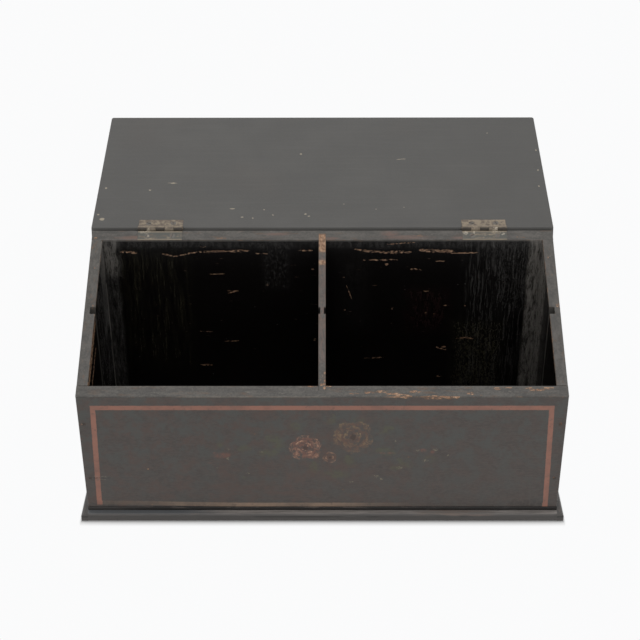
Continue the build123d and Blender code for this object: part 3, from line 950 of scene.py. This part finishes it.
def paint_leaves(coat, roses):
    """Faint leaves and scattered petals on both sides of the flowers."""
    w = coat.w
    rows = []
    for x, z, reach, angle in LEAVES:
        turn = radians(angle)
        rows.append((x, z, x + reach * cos(turn), z + reach * sin(turn), LEAF_WIDTH))
    leaf = tuple(roses.leaf)
    mottled = coat.clouds(120.0, low=0.36, high=0.62)
    coat.cover(w.all_of(coat.marks(DEEP, OLIVE_FLECKS, rows), mottled), leaf, share=0.75 * roses.strength)
    pink = w.all_of(coat.marks(DEEP, PINK_FLECKS), mottled)
    coat.cover(pink, tuple(roses.pink_shadow), share=roses.strength)
    pale = coat.broken(coat.marks(DEEP, PALE_FLECKS), slow=500.0, fast=500.0)
    coat.cover(pale["Thin"], tuple(roses.fleck), share=0.65)
    coat.cover(pale["Gone"], tuple(roses.glint), share=0.65)


def paint_front(context):
    """Brownish black with the red line, the faded roses, rubbed edges and chips."""
    coat = new_coat(context, "front_board_paint")
    look, w = coat.look, coat.w
    front = tuple(look.front)
    coat.film(front, paler(front, 1.45), cloud=0.35, streak=0.40, roughness=0.40, uneven=0.14)
    x, y, z = w.apart(coat.place)
    fine = coat.streaks(240.0, 700.0, low=0.40, high=0.62, rough=0.8, detail=4.0)
    coat.cover(fine, paler(front, 1.85), share=0.55)
    flatter = w.move("MULTIPLY", coat.place, (55.0, 55.0, 80.0))
    warm = w.step(w.noise(flatter, 1.0, detail=5.0, rough=0.75), 0.44, 0.60)
    coat.tint("ruddy", w.all_of(warm, w.step(x, 160 * MM, -20 * MM, low=0.35)), share=0.62)
    elsewhere = w.move("ADD", coat.place, (3.0, 1.0, 2.0))
    cool = w.step(w.noise(elsewhere, 68.0, detail=5.0, rough=0.75), 0.44, 0.60)
    coat.tint("greenish", w.all_of(cool, w.step(z, 20 * MM, 90 * MM, low=0.5)), share=0.78)
    outer = w.step(y, front_face + 0.6 * MM, front_face + 0.2 * MM)
    coat.stains(DEEP, outer, FRONT_STAINS)
    roses = context.scene.letter_box_roses
    paint_leaves(coat, roses)
    for flower, (centre, left, twist, rings, light, dark) in FLOWERS.items():
        size = getattr(roses, flower + "_size")
        tones = (tuple(getattr(roses, light)), tuple(getattr(roses, dark)))
        paint_rose(coat, roses.strength * left, centre, size, *tones, rings, twist)
    paint_border(coat, context.scene.letter_box_border)
    crack = coat.broken(coat.marks(DEEP, (), FRONT_CRACK), slow=600.0, fast=900.0)
    coat.tint("grime_and_painted_shade", w.all_of(crack["Thin"], outer), share=0.70)
    rub = coat.broken(coat.marks(DEEP, (), FRONT_RUB))
    coat.tint("rubbed", w.all_of(rub["Thin"], outer), share=0.35)
    coat.scars(DEEP, outer, FRONT_SPECKS)
    specks = w.all_of(coat.specks(scale=55.0, few=0.88, size=0.05), outer)
    coat.tint("brown", specks, share=0.6, roughness=0.6)
    depth = sloping_edge(coat, front_face, front_top, faded=1.48)
    inner = w.step(y, front_inner - 0.4 * MM, front_inner - 0.15 * MM)
    coat.tint("inside", w.all_of(inner, w.step(depth, 1.4 * MM, 1.9 * MM)), share=1.0, roughness=0.2)
    outer_arris = coat.arris((0.0, front_face, front_top), ALONG)
    polished = coat.worn(outer_arris, reach=1.5, scale=300.0, amount=0.30)
    shine = w.all_of(polished["Thin"], w.within(x, -118.0, 6.0, 8.0))
    coat.tint("rubbed", shine, share=0.50, roughness=0.5)
    coat.bare(coat.worn(outer_arris, reach=1.8, scale=210.0, amount=-0.02), where=0.8)
    coat.bare(coat.worn(outer_arris, reach=3.4, scale=130.0, amount=0.14), w.within(x, 56.0, 112.0, 6.0))
    chipped = coat.broken(coat.marks(UP, BEVEL_CHIPS), slow=230.0, fast=650.0)
    coat.bare(chipped, w.step(depth, 2.6 * MM, 1.6 * MM), light=1.2)
    ends = w.sum("SUBTRACT", half_width, w.sum("ABSOLUTE", x))
    coat.bare(coat.worn(ends, reach=2.0, scale=170.0, amount=-0.03), outer, share=0.8)
    corner = w.sum("ADD", w.sum("MULTIPLY", ends, 0.6), w.sum("SUBTRACT", z, front_low.z))
    coat.bare(coat.worn(corner, reach=9.0, scale=240.0, amount=0.10), outer, share=0.8)
    coat.finish("front_board")


def paint_outside(coat):
    """Plain black with brown scuffs along the grain and small pale specks."""
    outside = tuple(coat.look.outside)
    coat.film(outside, paler(outside, 1.3), cloud=0.45, streak=0.4, roughness=0.42)
    scuffs = coat.streaks(24.0, 190.0, low=0.56, high=0.70)
    coat.tint("brown", scuffs, share=0.35, roughness=0.55)
    coat.tint("speck", coat.specks(scale=60.0, few=0.90, size=0.035), share=0.5, roughness=0.6)


def paint_back(context):
    """Outside paint behind, a mottled sloping top edge and a scarred black inner face."""
    coat = new_coat(context, "back_board_paint")
    w = coat.w
    paint_outside(coat)
    x, y, z = w.apart(coat.place)
    depth = sloping_edge(coat, back_face, back_high.z, faded=1.48)
    upper = w.step(depth, 2.2 * MM, 1.4 * MM)
    streaks = coat.streaks(150.0, 700.0, low=0.32, high=0.52)
    handled = w.all_of(upper, coat.marks(UP, HANDLED_PLACES), streaks)
    coat.tint("handled", handled, share=0.75, roughness=0.55)
    coat.scars(UP, upper, BACK_TOP_CHIPS, light=0.8)
    inside = w.step(y, back_inner + 0.55 * MM, back_inner + 0.2 * MM)
    coat.tint("inside", w.all_of(inside, w.step(depth, 0.6 * MM, 1.6 * MM)), share=1.0, roughness=0.22)
    coat.stains(DEEP, inside, BACK_STAINS)
    drawn_out = w.move("MULTIPLY", coat.place, (70.0, 1.0, 620.0))
    ticks = w.step(w.noise(drawn_out, 1.0, detail=5.0, rough=0.62), 0.665, 0.72)
    ticks = w.all_of(inside, ticks, w.step(z, 30 * MM, 160 * MM, low=0.35))
    coat.tint("bare_dark", ticks, share=0.35, roughness=0.6)
    specks = w.all_of(inside, coat.specks(scale=150.0, few=0.90, size=0.06))
    coat.tint("dust", specks, share=0.35, roughness=0.6)
    coat.scars(DEEP, inside, BACK_CHIPS, BACK_SCARS)
    inner_arris = coat.arris((0.0, back_inner, back_top_inner), ALONG)
    coat.bare(coat.worn(inner_arris, reach=1.6, scale=180.0, amount=0.04), share=0.5)
    ends = w.sum("SUBTRACT", half_width, w.sum("ABSOLUTE", x))
    worn_ends = coat.worn(ends, reach=2.2, scale=150.0, amount=0.0)
    coat.bare(worn_ends, w.step(y, back_inner, back_inner + 1 * MM), share=0.7)
    coat.finish("back_board")


def paint_side(context, name, way, stains, scars):
    """Outside paint, a rubbed sloping edge and a dusty black inner face with bare arrises."""
    coat = new_coat(context, name + "_paint", DEEP)
    w = coat.w
    paint_outside(coat)
    x, _, z = w.apart(coat.place)
    across = w.sum("MULTIPLY", x, way)
    depth = sloping_edge(coat, front_face, front_top, faded=1.44)
    inside = w.step(across, side_inner + 0.35 * MM, side_inner + 0.1 * MM)
    coat.tint("inside", w.all_of(inside, w.step(depth, 0.8 * MM, 1.6 * MM)), share=1.0, roughness=0.22)
    coat.stains(ACROSS, inside, stains)
    specks = w.all_of(inside, coat.specks(scale=150.0, few=0.90, size=0.06))
    coat.tint("dust", specks, share=0.5, roughness=0.6)
    coat.scars(ACROSS, inside, (), scars, light=1.3)
    inner_arris = coat.arris((way * side_inner, front_face, front_top), SLOPE)
    outer_arris = coat.arris((way * half_width, front_face, front_top), SLOPE)
    coat.bare(coat.worn(inner_arris, reach=2.0, scale=170.0, amount=0.10), share=0.8)
    coat.bare(coat.worn(outer_arris, reach=1.4, scale=170.0, amount=-0.02), share=0.7)
    coat.scars(UP, w.step(depth, 3.0 * MM, 2.0 * MM), EDGE_CHIPS[name])
    # Painted shade: the foot of the side is darkened in streaks along the crease where it meets the bottom
    # board
    foot = w.sum("SUBTRACT", z, front_low.z)
    shade_at_foot = w.step(foot, 2.0 * MM, 0.2 * MM)
    coat.tint("grime_and_painted_shade", w.all_of(shade_at_foot, w.noise(coat.drawn(40.0, 300.0), 1.0)), share=0.9)
    coat.finish(name)


def paint_divider(context):
    """Black, with its top edge rubbed and split to the wood."""
    coat = new_coat(context, "divider_paint", DEEP)
    look, w = coat.look, coat.w
    inside = tuple(look.inside)
    coat.film(inside, paler(inside, 2.0), cloud=0.5, streak=0.3, roughness=0.22)
    _, y, _ = w.apart(coat.place)
    depth = sloping_edge(coat, front_face, front_top, faded=1.46)
    below = w.step(depth, 0.6 * MM, 1.4 * MM)
    coat.stains(ACROSS, below, DIVIDER_STAINS)
    split = w.any_of(
        w.within(y, 53.5, 70.0, 1.5),
        w.within(y, 41.5, 45.5, 1.0),
        w.all_of(w.step(y, -50.0 * MM, -54.0 * MM), coat.specks(scale=300.0, few=0.35, size=0.4)),
    )
    streaks = coat.streaks(90.0, 500.0, low=0.40, high=0.58)
    upper = w.step(depth, 1.4 * MM, 0.7 * MM)
    coat.tint("handled", w.all_of(w.within(y, -46.0, 50.0, 6.0), streaks, upper), share=0.50)
    split = w.all_of(split, w.step(depth, 3.0 * MM, 1.2 * MM))
    left_over = coat.streaks(110.0, 420.0, low=0.34, high=0.48)
    coat.bare({"Thin": split, "Gone": w.all_of(split, left_over)})
    for side in (divider_low.x, divider_high.x):
        arris = coat.arris((side, front_face, front_top), SLOPE)
        polished = coat.worn(arris, reach=1.2, scale=260.0, amount=0.22)
        shine = w.all_of(polished["Thin"], w.step(y, -60 * MM, 50 * MM, low=0.35))
        coat.tint("rubbed", shine, share=0.8, roughness=0.5)
        coat.bare(coat.worn(arris, reach=1.5, scale=220.0, amount=0.05), share=0.6)
    coat.finish("divider")


def paint_bottom(context):
    """Black above, darkened along its rounded front edge by grime and a painted shade, painted at the ends
    and bare below.
    """
    coat = new_coat(context, "bottom_board_paint")
    look, w = coat.look, coat.w
    inside = tuple(look.inside)
    coat.film(inside, paler(inside, 2.0), cloud=0.5, streak=0.3, roughness=0.25)
    x, y, z = w.apart(coat.place)
    coat.tint("dust", coat.specks(scale=150.0, few=0.86, size=0.10), share=1.0, roughness=0.5)
    edge = w.any_of(
        w.step(w.sum("ABSOLUTE", x), half_width - 1.4 * MM, half_width - 0.4 * MM),
        w.step(y, back_face - 1.4 * MM, back_face - 0.4 * MM),
    )
    coat.tint("outside", edge, share=1.0, roughness=0.45)
    # Painted shade: the front edge is painted near black in streaks, standing in for the shaded gap between
    # the front board and the strip, paler at the left end
    front_edge = w.step(y, front_face + 3.0 * MM, front_face + 1.6 * MM)
    edge_streaks = coat.streaks(60.0, 500.0, low=0.52, high=0.70, rough=0.6, detail=4.0)
    grime_and_shade_band = w.blend(edge_streaks, tuple(look.grime_and_painted_shade), paler(look.strips, 0.55))
    at_end = w.step(x, -135 * MM, -190 * MM)
    foot = w.blend(w.sum("MULTIPLY", at_end, 0.45), grime_and_shade_band, tuple(look.strips))
    coat.cover(front_edge, foot, roughness=0.6)
    # Painted highlight: the upper rim of that edge gets tan streaks
    rim = w.all_of(w.step(z, 9.0 * MM, 9.8 * MM), w.within(x, -150.0, 95.0, 40.0), edge_streaks)
    coat.tint("scuff_and_highlight", w.all_of(front_edge, rim), share=0.8)
    under = w.step(z, 1.6 * MM, 0.6 * MM)
    tones = {"light": paler(look.bare_light, 0.35), "dark": paler(look.bare_dark, 0.5)}
    stained = w.use("Bare Wood", place=coat.place, grain=coat.grain, **tones)
    coat.cover(under, stained["Color"], roughness=0.7)
    coat.finish("bottom_board")


def paint_strip(context, name, axis, nodes):
    """Black strips with a rubbed upper edge and a painted highlight on it, a paler foot, dirt under the
    nose and painted light on the top of the front strip.
    """
    coat = new_coat(context, name, axis)
    look, w = coat.look, coat.w
    strips = tuple(look.strips)
    coat.film(strips, paler(strips, 1.4), cloud=0.5, streak=0.5, roughness=0.42)
    x, y, z = w.apart(coat.place)
    streaky = w.noise(coat.drawn(35.0, 420.0), 1.0, detail=5.0, rough=0.65)
    # Rubbed paint and a painted highlight: streaks along the top are painted paler
    top = w.step(z, base_high.z - 2.2 * MM, base_high.z - 1.0 * MM)
    coat.cover(w.all_of(top, w.step(streaky, 0.42, 0.62)), paler(strips, 1.5), roughness=0.45, share=0.7)
    low = w.step(z, 2.8 * MM, 1.2 * MM)
    coat.cover(low, paler(strips, 1.6), share=0.7)
    dirt = w.all_of(w.within(z, 3.6, 4.9, 0.5), w.step(streaky, 0.36, 0.52))
    if axis == ACROSS:
        dirt = w.all_of(dirt, w.any_of(w.within(x, -60.0, 50.0, 9.0), w.within(x, 97.0, 128.0, 6.0), 0.3))
        # Painted light: the top in front of the front board is painted much paler where it lies in shade,
        # streaked, with a cleaner slate grey at the left end
        painted_light_shelf = w.all_of(top, w.step(y, base_low.y + 0.2 * MM, front_face - 3.2 * MM))
        dust_and_painted_light = w.blend(w.step(streaky, 0.35, 0.65), paler(strips, 3.0), paler(strips, 4.8))
        clean = w.step(x, -70.0 * MM, -125.0 * MM)
        coat.cover(painted_light_shelf, w.blend(clean, dust_and_painted_light, tuple(look.slate)), roughness=0.5)
        tanned = w.all_of(top, w.within(x, 82.0, 142.0, 8.0), w.step(streaky, 0.40, 0.58))
        coat.tint("scuff_and_highlight", tanned, share=0.8, roughness=0.5)
    coat.tint("grime_and_painted_shade", dirt, share=0.75, roughness=0.6)
    scuffed = coat.streaks(60.0, 330.0, low=0.62, high=0.70, rough=0.65)
    near_top = w.step(z, base_high.z - 4 * MM, base_high.z - 1 * MM)
    coat.tint("scuff_and_highlight", w.all_of(scuffed, near_top), share=0.7, roughness=0.55)
    coat.tint("speck", coat.specks(scale=120.0, few=0.88, size=0.07), share=0.7, roughness=0.6)
    coat.finish(*nodes)


def hinge_metal(context, name, pale_patches, painted, nodes):
    """Tarnished brass, each knuckle in its own tone, with paint dragged over the leaf on the box."""
    coat = new_coat(context, name)
    metal, w = context.scene.letter_box_metal, coat.w
    x, y, _ = w.apart(coat.place)
    start, end = (level - 0.25 * pale_patches for level in (0.62, 0.80))
    patch = coat.clouds(260.0, start, end, rough=0.55, detail=3.0)
    knuckle = w.add("ShaderNodeTexWhiteNoise", noise_dimensions="1D")
    from_end = w.sum("ADD", x, hinge_length / 2)
    w.feed(knuckle.inputs["W"], w.sum("FLOOR", w.sum("DIVIDE", from_end, knuckle_length)))
    behind = w.sum("SUBTRACT", y, pin_back)
    barrel = w.within(behind, -2.4, 2.4, 0.3)
    toned = w.all_of(barrel, w.sum("SUBTRACT", 1.0, knuckle.outputs["Value"]))
    coat.colour = w.blend(patch, tuple(metal.tarnish), tuple(metal.brass))
    coat.cover(toned, paler(metal.tarnish, 0.50), share=0.60)
    # Painted highlight: a paler band of brass along the top of the barrel
    coat.cover(w.within(behind, -0.8, 1.6, 0.5), paler(metal.brass, 1.35), share=0.45)
    # Painted shade: the brass in front of the barrel is darkened where the slots under the knuckles lie in
    # shade
    if not painted:
        coat.cover(w.step(behind, -1.2 * MM, -1.8 * MM), paler(metal.tarnish, 0.15), share=0.85)
    grubby = coat.clouds(900.0, low=0.52, high=0.70, rough=0.6, detail=3.0)
    coat.cover(grubby, paler(metal.tarnish, 0.5), share=0.5)
    coat.roughness = w.sum("ADD", 0.42, w.sum("MULTIPLY", patch, 0.12))
    coat.height = w.noise(coat.place, 900.0, detail=3.0, rough=0.6)
    if painted:
        leaf = w.step(behind, -2.0 * MM, -2.7 * MM)
        dragged = coat.streaks(120.0, 420.0, low=0.34, high=0.52, rough=0.70)
        coat.cover(w.all_of(leaf, dragged), tuple(metal.smear), roughness=0.45)
        coat.cover(w.within(y, *LEAF_AT_BARREL, 0.4), tuple(metal.brass), share=0.6)
        front_edge = w.within(y, *LEAF_AT_FRONT, 0.3)
        coat.cover(front_edge, paler(metal.brass, 0.9), share=0.7)
        pale = coat.broken(coat.marks(UP, PALE_SMEARS), slow=400.0, fast=400.0)
        coat.cover(pale["Thin"], tuple(metal.pale), roughness=0.6, share=0.55)
    coat.finish(*nodes, bump=0.35, depth=0.1, metallic=0.2)


def small_iron(context, name, main, spot_colour, share_of_rust, nodes, glint=()):
    """Screws and nails."""
    coat = new_coat(context, name)
    w = coat.w
    rusty = coat.clouds(600.0, low=0.50, high=0.64, rough=0.65, detail=4.0)
    coat.colour = w.blend(w.sum("MULTIPLY", rusty, share_of_rust), tuple(main), tuple(spot_colour))
    if glint:
        pale = tuple(context.scene.letter_box_metal.pale)
        coat.cover(w.step(coat.marks(UP, glint), 0.30, 0.60), pale, roughness=0.4, share=0.8)
    coat.roughness = w.sum("ADD", 0.45, w.sum("MULTIPLY", rusty, 0.2))
    coat.height = w.noise(coat.place, 1500.0, detail=3.0, rough=0.6)
    coat.finish(*nodes, bump=0.4, depth=0.1, metallic=0.3)


PLAIN_PAPER = (0.90, 0.90, 0.90)
# Grey of the paper right at the base, a painted shadow
PAINTED_SHADOW_PAPER = (0.50, 0.50, 0.50)
FLOOR_HALF = 6.0
FLOOR_DROP = 0.2 * MM
SHADOW_REACH = 8.0 * MM
# How far the paper is painted darker as a painted shadow by the strips' noses, and how much closer the
# shadow lies at the ends
CONTACT_REACH = 3.0 * MM
CLOSER_AT_ENDS = 3.5
LAMP_SIDES = (2.0, 1.4)
LAMP_PLACE = (0.0, -0.4, 1.8)
LAMP_TILT = -12.0
CAMERA_PLACE = (3.661 * MM, -1009.095 * MM, 797.094 * MM)
CAMERA_TURNS = (("Z", 0.310), ("X", 57.430), ("Z", -0.193))


def seen_directly(w):
    """One where the eye sees a surface itself, in a reflection or through glass."""
    rays = w.add("ShaderNodeLightPath")
    kinds = ("Is Camera Ray", "Is Glossy Ray", "Is Transmission Ray")
    return w.any_of(*(rays.outputs[kind] for kind in kinds))


def set_world(context, stage):
    """A plain white room for the eye and a softer level for the light."""
    world = bpy.data.worlds.new("studio")
    context.scene.world = world
    world.use_nodes = True
    world.node_tree.nodes.clear()
    w = Wiring(world.node_tree)
    seen = seen_directly(w)
    background = w.add("ShaderNodeBackground")
    level = (stage.sky,) * 3
    w.feed(background.inputs["Color"], w.blend(seen, level, tuple(stage.white)))
    w.feed(w.add("ShaderNodeOutputWorld").inputs["Surface"], background.outputs[0])


def lay_floor(stage):
    """A pale floor that keeps the rendered shadow close round the base, with a painted shadow that darkens
    the paper next to it.
    """
    mesh = bpy.data.meshes.new("floor")
    form = bmesh.new()
    bmesh.ops.create_grid(form, x_segments=1, y_segments=1, size=FLOOR_HALF)
    bmesh.ops.translate(form, verts=form.verts, vec=(0.0, 0.0, -FLOOR_DROP))
    form.to_mesh(mesh)
    form.free()
    floor = bpy.data.objects.new("floor", mesh)
    bpy.context.scene.collection.objects.link(floor)
    material = bpy.data.materials.new("floor_paper")
    material.use_nodes = True
    material.node_tree.nodes.clear()
    w = Wiring(material.node_tree)
    place = w.add("ShaderNodeTexCoord").outputs["Object"]
    centre = Vector((0.0, (base_low.y + back_face) / 2, 0.0))
    half = Vector((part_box("base_strip_right")[1].x, (back_face - base_low.y) / 2, 10.0))
    away = w.move("SUBTRACT", w.move("ABSOLUTE", w.move("SUBTRACT", place, centre)), half)
    beyond = w.move("MAXIMUM", away, (0.0, 0.0, 0.0))
    off = w.move("LENGTH", w.move("MULTIPLY", beyond, (CLOSER_AT_ENDS, 1.0, 0.0)))
    close = w.step(off, SHADOW_REACH, 0.5 * MM)
    paper = w.add("ShaderNodeBsdfDiffuse")
    w.feed(paper.inputs["Color"], PLAIN_PAPER)
    # Painted shadow: the paper the eye sees near the base fades from the darker grey to the plain paper
    painted_shadow = w.add("ShaderNodeBsdfDiffuse")
    darker = w.step(off, 0.0, CONTACT_REACH)
    w.feed(painted_shadow.inputs["Color"], w.blend(darker, PAINTED_SHADOW_PAPER, PLAIN_PAPER))
    white = w.add("ShaderNodeEmission")
    w.feed(white.inputs["Color"], tuple(stage.white))
    eye = w.add("ShaderNodeMixShader")
    w.feed(eye.inputs[0], close)
    w.feed(eye.inputs[1], white.outputs[0])
    w.feed(eye.inputs[2], painted_shadow.outputs[0])
    both = w.add("ShaderNodeMixShader")
    w.feed(both.inputs[0], seen_directly(w))
    w.feed(both.inputs[1], paper.outputs[0])
    w.feed(both.inputs[2], eye.outputs[0])
    w.feed(w.add("ShaderNodeOutputMaterial").inputs["Surface"], both.outputs[0])
    mesh.materials.append(material)


def hang_lamp(context, stage):
    """A wide soft lamp above and a little in front."""
    lamp = bpy.data.lights.new("lamp", "AREA")
    lamp.shape = "RECTANGLE"
    lamp.size, lamp.size_y = LAMP_SIDES
    lamp.energy = stage.lamp
    holder = bpy.data.objects.new("lamp", lamp)
    tilt = Matrix.Rotation(radians(LAMP_TILT), 4, "X")
    holder.matrix_world = Matrix.Translation(LAMP_PLACE) @ tilt
    context.scene.collection.objects.link(holder)


def set_camera(context, stage):
    """The camera of the photograph."""
    camera = bpy.data.cameras.new("camera")
    camera.sensor_width = 36.0
    camera.lens = stage.lens
    camera.clip_start = 0.05
    camera.clip_end = 20.0
    holder = bpy.data.objects.new("camera", camera)
    place = Matrix.Translation(CAMERA_PLACE)
    for axis, turn in CAMERA_TURNS:
        place = place @ Matrix.Rotation(radians(turn), 4, axis)
    holder.matrix_world = place
    context.scene.collection.objects.link(holder)
    context.scene.camera = holder


class LETTERBOX_OT_lid(bpy.types.Operator):
    """Paint the lid"""

    bl_idname = "letter_box.lid"
    bl_label = "Lid"

    def execute(self, context):
        paint_lid(context)
        return {"FINISHED"}


class LETTERBOX_OT_front(bpy.types.Operator):
    """Paint the front board with its line and roses"""

    bl_idname = "letter_box.front"
    bl_label = "Front board"

    def execute(self, context):
        paint_front(context)
        return {"FINISHED"}


class LETTERBOX_OT_back(bpy.types.Operator):
    """Paint the back board"""

    bl_idname = "letter_box.back"
    bl_label = "Back board"

    def execute(self, context):
        paint_back(context)
        return {"FINISHED"}


class LETTERBOX_OT_sides(bpy.types.Operator):
    """Paint both side boards"""

    bl_idname = "letter_box.sides"
    bl_label = "Side boards"

    def execute(self, context):
        paint_side(context, "left_side", -1.0, LEFT_STAINS, LEFT_SCARS)
        paint_side(context, "right_side", 1.0, RIGHT_STAINS, RIGHT_SCARS)
        return {"FINISHED"}


class LETTERBOX_OT_divider(bpy.types.Operator):
    """Paint the divider and the bottom"""

    bl_idname = "letter_box.divider"
    bl_label = "Divider and bottom"

    def execute(self, context):
        paint_divider(context)
        paint_bottom(context)
        return {"FINISHED"}


class LETTERBOX_OT_strips(bpy.types.Operator):
    """Paint the base strips"""

    bl_idname = "letter_box.strips"
    bl_label = "Base strips"

    def execute(self, context):
        paint_strip(context, "front_strip_paint", ACROSS, ("base_strip_front", "strip_nails"))
        paint_strip(context, "side_strip_paint", DEEP, ("base_strip_left", "base_strip_right"))
        return {"FINISHED"}


class LETTERBOX_OT_hinges(bpy.types.Operator):
    """Finish the hinges"""

    bl_idname = "letter_box.hinges"
    bl_label = "Hinges"

    def execute(self, context):
        for side, pale in (("left", 0.75), ("right", 1.0)):
            lid_parts = (f"hinge_{side}_lid_leaf", f"hinge_{side}_pin")
            hinge_metal(context, f"hinge_{side}_brass", pale, False, lid_parts)
            hinge_metal(context, f"hinge_{side}_painted", pale, True, (f"hinge_{side}_box_leaf",))
        return {"FINISHED"}


class LETTERBOX_OT_fastenings(bpy.types.Operator):
    """Finish the screws and nails"""

    bl_idname = "letter_box.fastenings"
    bl_label = "Screws and nails"

    def execute(self, context):
        metal = context.scene.letter_box_metal
        screws = [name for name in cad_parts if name.endswith("_screws")]
        nails = ("front_nails", "back_nails", "bottom_nails")
        small_iron(context, "screw_steel", metal.steel, metal.rust, 0.4, screws, SCREW_GLINT)
        small_iron(context, "nail_iron", metal.iron, metal.rust, 1.0, nails)
        return {"FINISHED"}


class LETTERBOX_OT_stage(bpy.types.Operator):
    """Set the floor, the light and the camera"""

    bl_idname = "letter_box.stage"
    bl_label = "Stage"

    def execute(self, context):
        stage = context.scene.letter_box_stage
        context.scene.view_settings.view_transform = "Standard"
        set_world(context, stage)
        lay_floor(stage)
        hang_lamp(context, stage)
        set_camera(context, stage)
        return {"FINISHED"}


OPERATORS = (
    LETTERBOX_OT_lid,
    LETTERBOX_OT_front,
    LETTERBOX_OT_back,
    LETTERBOX_OT_sides,
    LETTERBOX_OT_divider,
    LETTERBOX_OT_strips,
    LETTERBOX_OT_hinges,
    LETTERBOX_OT_fastenings,
    LETTERBOX_OT_stage,
)
GROUPS = {
    "letter_box_paint": LetterBoxPaint,
    "letter_box_border": LetterBoxBorder,
    "letter_box_roses": LetterBoxRoses,
    "letter_box_metal": LetterBoxMetal,
    "letter_box_stage": LetterBoxStage,
}


class LETTERBOX_PT_panel(bpy.types.Panel):
    """Lists the settings and the steps of the letter box"""

    bl_label = "Letter Box"
    bl_idname = "LETTERBOX_PT_panel"
    bl_space_type = "VIEW_3D"
    bl_region_type = "UI"
    bl_category = "Letter Box"

    def draw(self, context):
        for name, group in GROUPS.items():
            box = self.layout.box()
            for setting in group.__annotations__:
                box.prop(getattr(context.scene, name), setting)
        for operator in OPERATORS:
            self.layout.operator(operator.bl_idname)


def register():
    """Registers the settings, the steps and the panel."""
    for group in GROUPS.values():
        bpy.utils.register_class(group)
    for name, group in GROUPS.items():
        setattr(bpy.types.Scene, name, PointerProperty(type=group))
    for item in (*OPERATORS, LETTERBOX_PT_panel):
        bpy.utils.register_class(item)


def unregister():
    """Takes everything out again that register put in."""
    for item in reversed((*OPERATORS, LETTERBOX_PT_panel)):
        bpy.utils.unregister_class(item)
    for name, group in GROUPS.items():
        delattr(bpy.types.Scene, name)
        bpy.utils.unregister_class(group)


def main():
    """Runs every step in order."""
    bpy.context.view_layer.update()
    register()
    bpy.ops.letter_box.lid()
    bpy.ops.letter_box.front()
    bpy.ops.letter_box.back()
    bpy.ops.letter_box.sides()
    bpy.ops.letter_box.divider()
    bpy.ops.letter_box.strips()
    bpy.ops.letter_box.hinges()
    bpy.ops.letter_box.fastenings()
    bpy.ops.letter_box.stage()
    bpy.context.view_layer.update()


if __name__ == "__main__":
    main()
